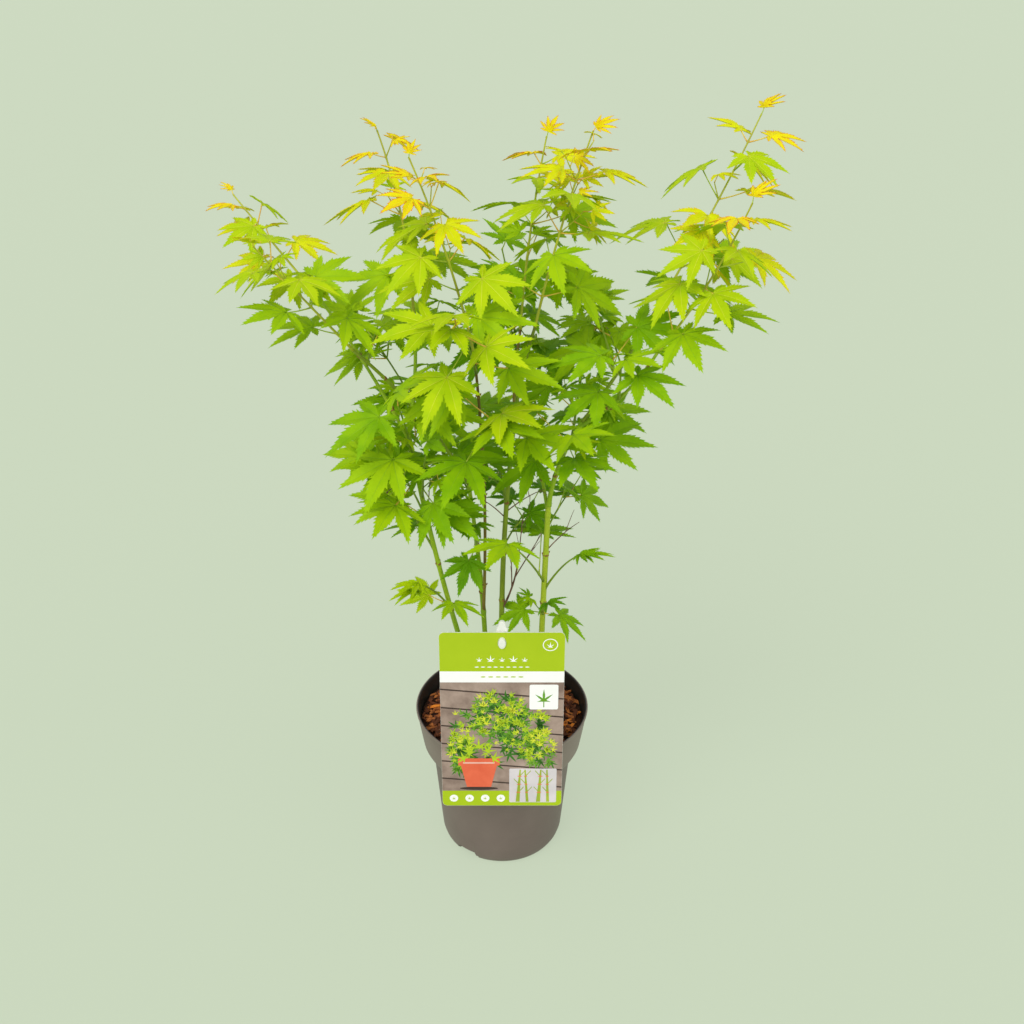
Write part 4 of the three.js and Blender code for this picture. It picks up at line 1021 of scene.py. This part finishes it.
# The sprays of foliage: this year's shoots, each with opposite pairs of leaves set crosswise, side twigs,
# and young shoots in the leaf axils. A leaf is a thin blade of seven long pointed fingers with a sawn edge,
# on a slim stalk: deep green when old, lime when young, yellow to gold with an orange fringe when newest.
Spray = namedtuple("Spray", "name parent at tip bend pairs leaf last twigs seed foot_tint tip_tint young")
SPRAYS = [Spray("spray_" + row[0], *row[1:]) for row in (
    # name, parent, place, tip, bend, pairs, leaf, last leaf, side twigs, seed, tints of its foot and tip,
    # share of the axils with a young shoot
    ("right_back_top", "bough_right_back", 1, (186, 50, 627), (4, -2, -3), 7, 44, 23, 1, 150, 2.2, 5.0, 0.1),
    ("right_front_top", "bough_right_front", 1, (162, -60, 589), (6, 0, -6), 7, 40, 22, 1, 787, 2.2, 4.8, 0.15),
    ("left_tip", "bough_left_back", 1, (-199, 50, 570), (-2, 0, 2), 6, 34, 13, 0, 491, 2.6, 5.0, 0.1),
    ("left", "bough_left", 1, (-166, -50, 558), (-3, 0, 3), 5, 38, 22, 1, 777, 2.0, 3.6, 0.2),
    ("left_top", "bough_left_top", 1, (-87, 20, 621), (10, 0, 3), 6, 42, 13, 1, 64, 2.0, 5.2, 0.35),
    ("centre_left_top", "bough_thin", 1, (-60, -50, 616), (6, 0, 4), 7, 40, 14, 1, 859, 2.2, 5.3, 0.5),
    ("centre_top", "bough_centre_front", 1, (62, 0, 624), (-4, -4, 4), 7, 42, 18, 1, 28, 1.6, 5.3, 0.6),
    ("centre_back_top", "bough_centre_back", 1, (32, 42, 613), (-4, 4, 4), 6, 42, 20, 1, 321, 1.4, 5.2, 0.6),
    ("left_front", "stem_left", 0.92, (-74, -54, 445), (0, -4, 10), 3, 50, 42, 0, 588, 1.8, 2.2, 0.25),
    ("left_low", "stem_left", 0.7, (-78, -33, 383), (0, 0, 12), 3, 44, 40, 0, 275, 1.5, 2.2, 0.25),
    ("left_middle", "stem_left", 0.62, (-106, 26, 363), (0, 0, 12), 2, 36, 34, 0, 510, 1.3, 1.9, 0.2),
    ("left_foot", "stem_left", 0.42, (-65, -38, 285), (0, 0, 10), 2, 32, 30, 0, 538, 2.2, 3.0, 0.1),
    ("left_inner", "stem_left", 0.8, (-55, -49, 408), (0, -6, 10), 3, 42, 40, 0, 857, 0.8, 1.6, 0.2),
    ("centre_foot", "stem_left_centre", 0.72, (-22, -13, 321), (0, -4, 8), 2, 32, 29, 0, 879, 0.6, 1.0, 0),
    ("centre_front", "bough_thin", 0.72, (-4, -67, 442), (0, -6, 12), 3, 50, 46, 0, 192, 1.2, 2.9, 0.25),
    ("centre_upper", "bough_thin", 0.94, (-30, -90, 517), (0, -6, 12), 4, 44, 38, 0, 412, 1.8, 2.8, 0.35),
    ("right_low", "stem_right", 0.66, (6, -55, 331), (0, -4, 10), 2, 44, 42, 0, 926, 1.2, 1.6, 0.1),
    ("right_side", "stem_right", 0.62, (60, -17, 299), (0, 2, 8), 1, 28, 26, 0, 753, 1.2, 1.4, 0),
    ("right_foot", "stem_right", 0.5, (34, -20, 257), (0, 0, 5), 2, 31, 28, 0, 265, 0.7, 1.0, 0.2),
    ("right_middle", "bough_right", 0.6, (47, -66, 426), (0, -4, 8), 3, 44, 42, 0, 63, 0.9, 1.6, 0.3),
    ("right_outer", "bough_right_front", 0.45, (84, -47, 473), (0, -4, 6), 3, 41, 34, 0, 342, 1.3, 2.0, 0.4),
    ("right_upper", "bough_right_back", 0.5, (66, 11, 503), (0, 0, 8), 2, 46, 46, 0, 778, 1.6, 2.2, 0.3),
    ("back_centre", "bough_right_inner", 1, (0, 84, 520), (6, 8, 8), 3, 44, 34, 1, 164, 0.5, 1.6, 0.9),
    ("back_left", "stem_left_centre", 0.9, (-115, 76, 467), (0, 6, 12), 4, 42, 36, 0, 444, 0.5, 1.6, 0.9),
    ("back_right", "bough_right", 0.8, (75, 82, 477), (0, 6, 12), 3, 42, 32, 1, 176, 0.7, 1.8, 0.9),
    ("back_low", "stem_centre", 0.72, (-10, 76, 383), (0, 4, 10), 2, 40, 37, 0, 325, 0.4, 1.2, 0.8),
)]
GROWTH = {
    "first_leaf": 0.16, "node_crowding": 0.86, "turn": 90, "turn_jitter": 26, "leaf_open": 62, "tip_open": 30,
    "open_jitter": 16, "stalk": 0.6, "stalk_jitter": 0.18, "tip_stalk": 0.35, "size_hold": 3, "droop": 17,
    "droop_jitter": 20, "roll": 24, "tries": 6, "tip_sharpness": 6, "shoot": (2.1, 1.1), "twig_from": 0.3,
    "twig_to": 0.6, "twig_length": 42, "twig_rise": 0.35, "twig_leaf": 0.8, "twig_turn": 0.25,
    "twig_sag": 0.1, "twig_thick": (1.5, 0.9),
}
TWIG_PLACE, TWIG_LEAF_PLACE = 900, 50
GROWN_WITHIN = 0.12    # a leaf that the source grew has a vertex this near to the tip that the rule gives it
SHOOT = {"sides": 8, "ring_spacing": 6, "rings": (-2.5, -1.2, -0.4, 0.4, 1.2, 2.5), "swelling": (0.28, 1.3),
         "collar": 0.4, "collar_length": 3.5}
AXIL = {"reach": (7, 27), "full_leaf": 36, "leaf": (0.42, 0.62), "pairs": (1.0, 0.55), "two_pairs_from": 17,
        "lowest": 225, "thick": (1.1, 0.7), "bushy": 0.8, "tries_if_bushy": 3}
BACK_SHOOTS = [
    # the small shoots that fill the far side: limb, place along it, way, reach, leaf, tint
    ("stem_left", 0.9, (-0.4, 1.0, 0.35), 46, 34, 1),
    ("stem_left_centre", 0.95, (-0.4, 1.0, 0.2), 44, 34, 1),
    ("stem_centre", 0.86, (0.3, 1.0, 0.35), 52, 34, 1),
    ("stem_centre", 0.6, (0.5, 1.0, 0.3), 50, 32, 0),
    ("stem_right", 0.9, (0.5, 1.0, 0.3), 54, 34, 1),
    ("bough_right", 0.5, (0.5, 1.0, 0.4), 50, 34, 1),
    ("bough_left", 0.4, (-0.2, 1.0, 0.4), 46, 34, 2),
    ("bough_left_back", 0.5, (0.1, 1.0, 0.4), 44, 32, 2),
    ("bough_centre_back", 0.6, (0.4, 1.0, 0.3), 46, 34, 2),
    ("bough_right_back", 0.6, (-0.2, 1.0, 0.4), 46, 32, 2),
    ("bough_left_top", 0.7, (0.3, 1.0, 0.3), 48, 32, 2),
]
BACK_JOINTS = ((1.0, 1.0), (0.7, 0.95), (0.4, 0.85))    # place along the shoot, share of the leaf's size
CURL = 0.16
LEAF_LIFT = 0.1
LEAF_MIDDLE, LEAF_ROOM = 0.4, 0.26
TINT_RISE, TINT_SPREAD = 1.5, 1.2
GOLD_STALKS = (0.06, 0.13)    # their share among the deepest leaves, and how it rises from tint to tint
YOUNG_TINT, YELLOW_SHOOT_TINT = 4, 3.5
FOLDED = {"tipward": 0.6, "under": 32}
LIGHT = Vector((0, -0.3, 1)).normalized()
UP = Vector((0, 0, 1))
TWIG_SAG = -UP * GROWTH["twig_length"] * GROWTH["twig_sag"]
LOBE_ANGLES = (-132, -82, -40, 0, 40, 82, 132)
LOBE_LENGTHS = (0.36, 0.7, 0.93, 1.0, 0.93, 0.7, 0.36)
# Half widths of a finger at shares of its length: a long one, an unfolding one and a short outer one
LONG_LOBE = ((0.35, 0.106), (0.43, 0.124), (0.51, 0.126), (0.59, 0.112), (0.67, 0.087), (0.75, 0.060),
             (0.83, 0.036), (0.91, 0.018))
YOUNG_LOBE = ((0.38, 0.106), (0.50, 0.120), (0.62, 0.102), (0.75, 0.064), (0.88, 0.026))
SHORT_LOBE = ((0.48, 0.165), (0.65, 0.150), (0.83, 0.080))
NOTCH_SHARE, INNER_STEPS, INNER_HALF = 0.30, 2, 0.42
TOOTH = {"foot": 0.054, "fall": 0.038, "forward": 0.028}
BLADE_THICK, RIM_THIN = 0.45, 0.4
RIB = (0.017, 0.007)
STALK = {"slim": 0.7, "full": 0.95, "full_from": 25, "girth": (1.5, 1.1, 0.95, 0.9, 1.2), "sides": 5}
TINTS = [
    # name, light tone, dark tone, light and dark tone of the fringe
    ("deep_green_leaves", tone(116, 168, 4), tone(88, 144, 2), None),
    ("green_leaves", tone(142, 187, 4), tone(114, 166, 2), None),
    ("bright_green_leaves", tone(164, 200, 6), tone(142, 187, 4), None),
    ("lime_leaves", tone(182, 208, 4), tone(160, 196, 4), None),
    ("yellow_leaves", tone(216, 222, 6), tone(198, 210, 4), (tone(218, 208, 20), tone(214, 182, 26))),
    ("gold_leaves", tone(232, 226, 8), tone(230, 202, 16), (tone(232, 168, 32), tone(210, 118, 34))),
]
Leaf = namedtuple("Leaf", "node origin forward face sideways")


def leaf_place(node, along, turn, length, tipward, draw):
    """Where a leaf sits: its stalk leaves the shoot sideways, and its blade hangs outwards from its end."""
    reference = Vector((0, 1, 0)) if abs(along.y) < 0.7 else Vector((1, 0, 0))
    side = Matrix.Rotation(turn, 3, along) @ along.cross(reference).normalized()
    opening = mixed(GROWTH["leaf_open"], GROWTH["tip_open"], tipward)
    opening = math.radians(opening + (draw(1) - 0.5) * 2 * GROWTH["open_jitter"])
    stalk_way = along * math.cos(opening) + side * math.sin(opening)
    shorter = mixed(1, GROWTH["tip_stalk"], tipward)
    stalk = length * shorter * (GROWTH["stalk"] + (draw(2) - 0.5) * 2 * GROWTH["stalk_jitter"])
    origin = node + stalk_way * stalk
    droop = math.radians(GROWTH["droop"] + (draw(3) - 0.5) * 2 * GROWTH["droop_jitter"])
    outwards = Vector((stalk_way.x, stalk_way.y, 0)).normalized()
    forward = (outwards * math.cos(droop) - UP * math.sin(droop) + along * tipward).normalized()
    face = (LIGHT - forward * LIGHT.dot(forward)).normalized()
    face = Matrix.Rotation(math.radians((draw(4) - 0.5) * 2 * GROWTH["roll"]), 3, forward) @ face
    return Leaf(node, origin, forward, face, face.cross(forward))


def pair_leaves(spray, place, along, node, turn, length, tipward, grown):
    """The two leaves of a pair, each at the try at which it grew; grown tells which one that was."""
    for half in (0, 1):
        for attempt in range(GROWTH["tries"]):
            key = place * 16 + half * 8 + attempt

            def draw(which, key=key):
                return chance(spray.seed, key, which)

            jitter = math.radians((draw(0) - 0.5) * 2 * GROWTH["turn_jitter"])
            leaf = leaf_place(node, along, turn + math.pi * half + jitter, length, tipward, draw)
            if grown(leaf.origin + leaf.forward * length - leaf.face * CURL * length):
                yield leaf, length, tipward, key
                break


def leaf_template(seed, lobes=range(7), close=0.0, long_lobe=LONG_LOBE):
    """A blade in shares of its middle finger: points, faces, sharp points and the midlines of the fingers."""
    rng = random.Random(seed)
    angles = [math.radians(LOBE_ANGLES[lobe] * (1 - 0.5 * close) + rng.uniform(-4, 4) * (lobe != 3))
              for lobe in lobes]
    lengths = [LOBE_LENGTHS[lobe] * (1 if lobe == 3 else rng.uniform(0.88, 1.0)) for lobe in lobes]
    slim, fold = 1 - 0.45 * close, 0.26 + 0.4 * close
    steps = [step / INNER_STEPS for step in range(1, INNER_STEPS + 1)]
    points, faces, sharp, midlines = [(0.0, 0.0, 0.0)], [], set(), []

    def add(forward, sideways, lift):
        points.append((forward, sideways, lift))
        return len(points) - 1

    notches = []
    for number in range(len(angles) - 1):
        bearing = (angles[number] + angles[number + 1]) / 2
        reach = NOTCH_SHARE * (lengths[number] + lengths[number + 1]) / 2 * rng.uniform(0.85, 1.05)
        notches.append([add(math.cos(bearing) * reach * step, math.sin(bearing) * reach * step,
                            0.12 * fold * step) for step in steps])
    for number, (angle, length) in enumerate(zip(angles, lengths)):
        way = (math.cos(angle), math.sin(angle))
        bow, sag, roll = rng.uniform(-0.05, 0.05), rng.uniform(-0.03, 0.07), rng.uniform(-0.2, 0.2)
        stations = long_lobe if length > 0.5 else SHORT_LOBE

        def spot(along, across, way=way, length=length, bow=bow, sag=sag, roll=roll):
            share = along / length
            aside = across + bow * share ** 2 * length
            lift = abs(across) * fold + across * roll * share - sag * share ** 2
            return (way[0] * along - way[1] * aside, way[1] * along + way[0] * aside, lift)

        inner = NOTCH_SHARE * length * 0.9
        middle = [0] + [add(*spot(inner * step, 0)) for step in steps]
        middle += [add(*spot(share * length, 0)) for share, _ in stations]
        tip = add(*spot(length, 0))
        sharp.add(tip)
        midlines.append([points[index] for index in middle[::2]] + [points[tip]])
        for side in (1, -1):
            notch = number if side == 1 else number - 1
            if 0 <= notch < len(notches):
                shared = notches[notch]
            else:
                shared = [add(*spot(inner * step, side * inner * step * INNER_HALF)) for step in steps]
            margin = [0] + shared
            margin += [add(*spot(share * length, side * half * length * slim)) for share, half in stations]
            patch = [list(dict.fromkeys([middle[step], middle[step + 1], margin[step + 1], margin[step]]))
                     for step in range(len(middle) - 1)]
            patch.append([middle[-1], tip, margin[-1]])
            for step, (share, half) in enumerate(stations):
                out = (TOOTH["foot"] - TOOTH["fall"] * share) * rng.uniform(0.4, 1.6) * (1 - 0.4 * close)
                tooth = add(*spot((share + TOOTH["forward"]) * length, side * (half * slim * length + out)))
                sharp.add(tooth)
                patch.append([margin[INNER_STEPS + step], margin[INNER_STEPS + step + 1], tooth])
            faces += patch if side == 1 else [face[::-1] for face in patch]
    return np.array(points), faces, sharp, midlines


def closed_blade(count, faces, sharp):
    """The template as a closed thin plate whose lower side meets the upper one at the tips and teeth."""
    edges = set()
    for face in faces:
        for a, b in zip(face, face[1:] + face[:1]):
            if (b, a) in edges:
                edges.remove((b, a))
            else:
                edges.add((a, b))
    rim = {index for edge in edges for index in edge}
    lower = [index for index in range(count) if index not in sharp]
    below = {index: count + rank for rank, index in enumerate(lower)}
    shell = faces + [[below.get(index, index) for index in reversed(face)] for face in faces]
    shell += [list(dict.fromkeys([b, a, below.get(a, a), below.get(b, b)])) for a, b in sorted(edges)]
    fringe = [int(not sharp.isdisjoint(face)) for face in shell]
    return shell, lower, np.array([RIM_THIN if index in rim else 1.0 for index in lower]), fringe


def rib(midline, width, height):
    """A raised rib along one finger, as a tapering three-sided bar in shares of the blade."""
    points = []
    line = np.array(midline)
    along = np.gradient(line[:, :2], axis=0)
    along /= np.linalg.norm(along, axis=1)[:, None]
    for station, (spot, way) in enumerate(zip(line, along)):
        thin = 1 - 0.85 * station / (len(line) - 1)
        aside = np.array((-way[1], way[0])) * width / 2 * thin
        points += [(spot[0] + aside[0], spot[1] + aside[1], spot[2] - 0.003),
                   (spot[0], spot[1], spot[2] + height * thin),
                   (spot[0] - aside[0], spot[1] - aside[1], spot[2] - 0.003)]
    rings = [[first, first + 1, first + 2] for first in range(0, len(points), 3)]
    return np.array(points), bands(rings) + [[0, 2, 1], rings[-1]]


def template_set(seeds, **ways):
    """Ready blades and ribs for a few seeds, so that no two neighbours are alike."""
    ready = []
    for seed in seeds:
        points, faces, sharp, midlines = leaf_template(seed, **ways)
        blade = closed_blade(len(points), faces, sharp)
        ready.append((points, *blade, [rib(midline, *RIB) for midline in midlines]))
    return ready


OPEN_BLADES = template_set(range(9))
YOUNG_BLADES = template_set(range(10, 16), close=0.25)
FOLDED_BLADES = template_set(range(20, 24), close=0.8, long_lobe=YOUNG_LOBE)
SMALL_BLADES = template_set(range(30, 37), lobes=range(1, 6), close=0.25, long_lobe=YOUNG_LOBE)


def pick(blade_set, share):
    return blade_set[int(share * len(blade_set)) % len(blade_set)]


def on_leaf(leaf, length, shares, above):
    """Puts points given in shares of a blade onto the leaf, a distance above its middle sheet."""
    shares = np.asarray(shares)
    fall = CURL * length * (shares[:, 0] ** 2 + shares[:, 1] ** 2)
    return (np.array(leaf.origin) + np.outer(shares[:, 0] * length, leaf.forward)
            + np.outer(shares[:, 1] * length, leaf.sideways)
            + np.outer(shares[:, 2] * length - fall + above, leaf.face))


class Blades(Heap):
    """The leaves of one tint, gathered into one piece with crisp edges and folds."""

    def __init__(self):
        super().__init__()
        self.fringe = []

    def grow(self, leaf, length, template):
        points, shell, lower, depth, fringe, _ = template
        above = on_leaf(leaf, length, points, 0)
        below = on_leaf(leaf, length, points[lower], -depth * min(BLADE_THICK, length * 0.02))
        self.add(np.concatenate([above, below]), shell)
        self.fringe += fringe

    def piece(self, name, skin, fringe_skin=None):
        skins, fringe = ([skin, fringe_skin], self.fringe) if fringe_skin else ([skin], None)
        made = piece_from(name, np.concatenate(self.points), self.faces, skins, face_materials=fringe)
        made.data.set_sharp_from_angle(angle=math.radians(24))
        return made


def grown_leaves(spray, curve, tree):
    """Every leaf of a spray that the rule let grow, and the side twigs, from the lowest pair up."""

    def grown(tip):
        return tree.find(tip * MM)[2] < GROWN_WITHIN * MM

    base_turn = chance(spray.seed, 0, 5) * math.pi
    leaves, twigs = [], []
    for pair in reversed(range(spray.pairs)):
        share = 1 if spray.pairs == 1 else (pair / (spray.pairs - 1)) ** GROWTH["node_crowding"]
        at = mixed(GROWTH["first_leaf"], 1, share)
        length = mixed(spray.leaf, spray.last, at ** GROWTH["size_hold"])
        tipward = at ** GROWTH["tip_sharpness"]
        turn = base_turn + math.radians(GROWTH["turn"]) * pair
        found = pair_leaves(spray, pair + 1, curve.tangent(at), curve.point(at), turn, length, tipward, grown)
        leaves += [(*leaf, at) for leaf in found]
    for number in range(spray.twigs):
        at = mixed(GROWTH["twig_from"], GROWTH["twig_to"], number / max(1, spray.twigs - 1))
        node = curve.point(at)

        def draw(which, number=number):
            return chance(spray.seed, TWIG_PLACE + number, which)

        turn = base_turn + math.pi * (number + GROWTH["twig_turn"])
        place = leaf_place(node, curve.tangent(at), turn, 1, 0, draw)
        way = ((place.origin - node).normalized() + UP * GROWTH["twig_rise"]).normalized()
        twig = Curve(node, node + way * GROWTH["twig_length"], TWIG_SAG)
        length = spray.leaf * GROWTH["twig_leaf"]
        found = []
        for end, at_twig in enumerate((0.5, 1)):
            found += pair_leaves(spray, TWIG_LEAF_PLACE + number * 2 + end, twig.tangent(at_twig),
                                 twig.point(at_twig), math.pi / 2 * end, length, end, grown)
        if found:
            twigs.append(twig)
            leaves += [(*leaf, at + 0.25) for leaf in found]
    return leaves, twigs


blades = [Blades() for _ in TINTS]
green_veins, yellow_veins = Heap(), Heap()
green_stalks, gold_stalks = Heap(), Heap()
green_shoots, yellow_shoots = Heap(), Heap()
blade_middles = []


def lifted(leaf):
    """The leaf with its blade spread flatter to the light than the rule hangs it."""
    forward = (leaf.forward + UP * LEAF_LIFT).normalized()
    face = (leaf.face - forward * leaf.face.dot(forward)).normalized()
    return Leaf(leaf.node, leaf.origin, forward, face, face.cross(forward))


def dress_leaf(leaf, length, tint, template, key):
    """One leaf: blade, ribs, and a stalk that sags a little from the shoot to the blade's foot."""
    leaf = lifted(leaf)
    blades[tint].grow(leaf, length, template)
    veins = green_veins if tint < 3 else yellow_veins
    for points, faces in template[-1]:
        veins.add(on_leaf(leaf, length, points, 0), faces)
    foot = leaf.origin - leaf.forward * length * 0.015 - leaf.face * 0.2
    middle = leaf.node.lerp(foot, 0.5) - UP * length * 0.03
    curve = Curve(leaf.node, foot, middle - (leaf.node + foot) / 2)
    width = STALK["slim"] if length < STALK["full_from"] else STALK["full"]
    radii = [width * share / 2 for share in STALK["girth"]]
    stalks = gold_stalks if chance(key, 7, 3) < GOLD_STALKS[0] + GOLD_STALKS[1] * tint else green_stalks
    stalks.add(*tube(curve.spots(step / 4 for step in range(5)), radii, STALK["sides"]))


def tint_of(spray, at, key):
    tint = mixed(spray.foot_tint, spray.tip_tint, min(at, 1) ** TINT_RISE)
    tint += (chance(spray.seed, key, 9) - 0.5) * TINT_SPREAD
    return int(min(max(round(tint), 0), len(TINTS) - 1))


def room_for(leaf, length):
    """Whether a small leaf has room: no other blade's middle is near its own."""
    middle = leaf.origin + leaf.forward * length * LEAF_MIDDLE
    if any((middle - other).length < LEAF_ROOM * (length + size) for other, size in blade_middles):
        return False
    blade_middles.append((middle, length))
    return True


def axil_shoot(spray, leaf, length, key, tint, at, shoots):
    """A young shoot from a leaf's axil, with one or two pairs of half-open leaves, where there is room."""
    def draw(which):
        return chance(spray.seed, key, 30 + which)

    stalk_way = (leaf.origin - leaf.node).normalized()
    across = leaf.sideways * (draw(0) - 0.5)
    along = (UP * 0.8 + stalk_way * 0.9 + across).normalized()
    reach = mixed(*AXIL["reach"], draw(1)) * min(1, length / AXIL["full_leaf"])
    bow = stalk_way * reach * 0.06
    curve = Curve(leaf.node, leaf.node + along * reach, bow)
    grown = False
    for pair, place in enumerate(AXIL["pairs"] if reach > AXIL["two_pairs_from"] else AXIL["pairs"][:1]):
        for half in (0, 1):
            def leaf_draw(which, pair=pair, half=half):
                return chance(spray.seed, key * 4 + pair * 2 + half, 40 + which)

            size = length * mixed(*AXIL["leaf"], leaf_draw(5)) * (1 - 0.15 * (1 - pair))
            turn = math.pi * (half + pair / 2 + draw(2))
            tipward = 0.45 * (1 - pair)
            small = leaf_place(curve.point(place), curve.tangent(place), turn, size, tipward, leaf_draw)
            if small.origin.z > AXIL["lowest"] and room_for(small, size):
                younger = min(tint + (leaf_draw(7) < 0.5 + 0.3 * at), len(TINTS) - 1)
                dress_leaf(small, size, younger, pick(SMALL_BLADES, leaf_draw(6)), key + half)
                grown = True
    if grown:
        wiry(shoots, curve.start, curve.tip, bow, *AXIL["thick"], 5, 4)


def back_shoot(seed, limb, place, way, reach, size, tint):
    """A leafy side shoot on the far side of the crown, with a pair of leaves at each of three joints."""
    start = limb_curves[limb].point(place)
    curve = wiry(green_shoots, start, start + Vector(way).normalized() * reach, UP * 5, 1.6, 0.9)
    for joint, (at, share) in enumerate(BACK_JOINTS):
        for half in (0, 1):
            def draw(which, joint=joint, half=half):
                return chance(seed, joint * 2 + half, which)

            length = size * mixed(0.85, 1.0, draw(5)) * share
            turn = math.pi * (half + joint / 2) + draw(0) * 0.6
            leaf = leaf_place(curve.point(at), curve.tangent(at), turn, length, 0.3 * (joint == 0), draw)
            if room_for(leaf, length):
                dress_leaf(leaf, length, tint, pick(OPEN_BLADES, draw(6)), seed * 10 + joint * 2 + half)


def grow_spray(spray):
    """One spray: its shoot, side twigs and leaves; returns what its axil shoots need."""
    node = frame["nodes"][spray.name]
    tree = KDTree(len(node.data.vertices))
    for index, vertex in enumerate(node.data.vertices):
        tree.insert(vertex.co, index)
    tree.balance()
    curve = Curve(limb_curves[spray.parent].point(spray.at), spray.tip, spray.bend)
    leaves, twigs = grown_leaves(spray, curve, tree)
    knots = sorted({round(at, 4) for _, _, _, _, at in leaves if at <= 1})
    length = curve.length()
    shares = ring_places(length, SHOOT["ring_spacing"], knots, SHOOT["rings"])
    radii = [mixed(*GROWTH["shoot"], share) / 2
             * (1 + SHOOT["collar"] * math.exp(-share * length / SHOOT["collar_length"]))
             * swelling(share, length, knots, *SHOOT["swelling"]) for share in shares]
    shoots = yellow_shoots if spray.tip_tint > YELLOW_SHOOT_TINT else green_shoots
    shoots.add(*tube(curve.spots(shares), radii, SHOOT["sides"]))
    for twig in twigs:
        wiry(shoots, twig.start, twig.tip, TWIG_SAG, *GROWTH["twig_thick"])
    for leaf, size, tipward, key, at in leaves:
        blade_middles.append((leaf.origin + leaf.forward * size * LEAF_MIDDLE, size))
        tint = tint_of(spray, at, key)
        blade_set = OPEN_BLADES if tint < YOUNG_TINT else YOUNG_BLADES
        if tipward > FOLDED["tipward"] and size < FOLDED["under"]:
            blade_set = FOLDED_BLADES
        dress_leaf(leaf, size, tint, pick(blade_set, chance(spray.seed, key, 8)), key + spray.seed)
    return [(spray, leaf, size, key, at, shoots) for leaf, size, tipward, key, at in leaves if tipward < 0.5]


axils = [axil for spray in SPRAYS for axil in grow_spray(spray)]
for spray, leaf, size, key, at, shoots in axils:
    for again in range(AXIL["tries_if_bushy"] if spray.young >= AXIL["bushy"] else 1):
        if chance(spray.seed, key, 10 + again) < spray.young:
            axil_shoot(spray, leaf, size, key + again * 700, tint_of(spray, at, key + 3), at, shoots)
for seed, row in enumerate(BACK_SHOOTS):
    back_shoot(seed + 61, *row)
dressed = []
for tint_blades, (tint_name, light, dark, fringe) in zip(blades, TINTS):
    leaf_skin = finish_material(tint_name, light, dark, 130 if fringe else 60, 0.6, balance=-0.15, relief=0.3,
                                relief_scale=420, specular=0.12)
    fringe_skin = finish_material(tint_name + "_fringe", *fringe, 200, 0.6, specular=0.12) if fringe else None
    dressed.append(tint_blades.piece(tint_name, leaf_skin, fringe_skin))
pale = finish_material("pale_rib", tone(150, 190, 44), tone(128, 176, 30), 60, 0.55, specular=0.2)
yellow_rib = finish_material("yellow_rib", tone(222, 222, 84), tone(204, 212, 60), 60, 0.55, specular=0.2)
stalk_green = finish_material("green_stalk", tone(190, 208, 48), tone(150, 182, 36), 90, 0.45)
stalk_gold = finish_material("gold_stalk", tone(236, 214, 70), tone(224, 160, 66), 60, 0.45, balance=-0.15)
shoot_green = finish_material("green_shoot", tone(146, 176, 34), tone(112, 136, 26), 70, 0.5, relief=0.2,
                              relief_scale=600)
shoot_yellow = finish_material("yellow_shoot", tone(196, 206, 48), tone(164, 164, 40), 50, 0.5, relief=0.2,
                               relief_scale=600)
dressed += [heap.piece(name, skin) for heap, name, skin in (
    (green_veins, "ribs_of_green_leaves", pale), (yellow_veins, "ribs_of_young_leaves", yellow_rib),
    (green_stalks, "green_leaf_stalks", stalk_green), (gold_stalks, "gold_leaf_stalks", stalk_gold),
    (green_shoots, "green_shoots", shoot_green), (yellow_shoots, "yellow_shoots", shoot_yellow))]
for piece in dressed:
    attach(piece, "root")
    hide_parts(*[spray.name for spray in SPRAYS])
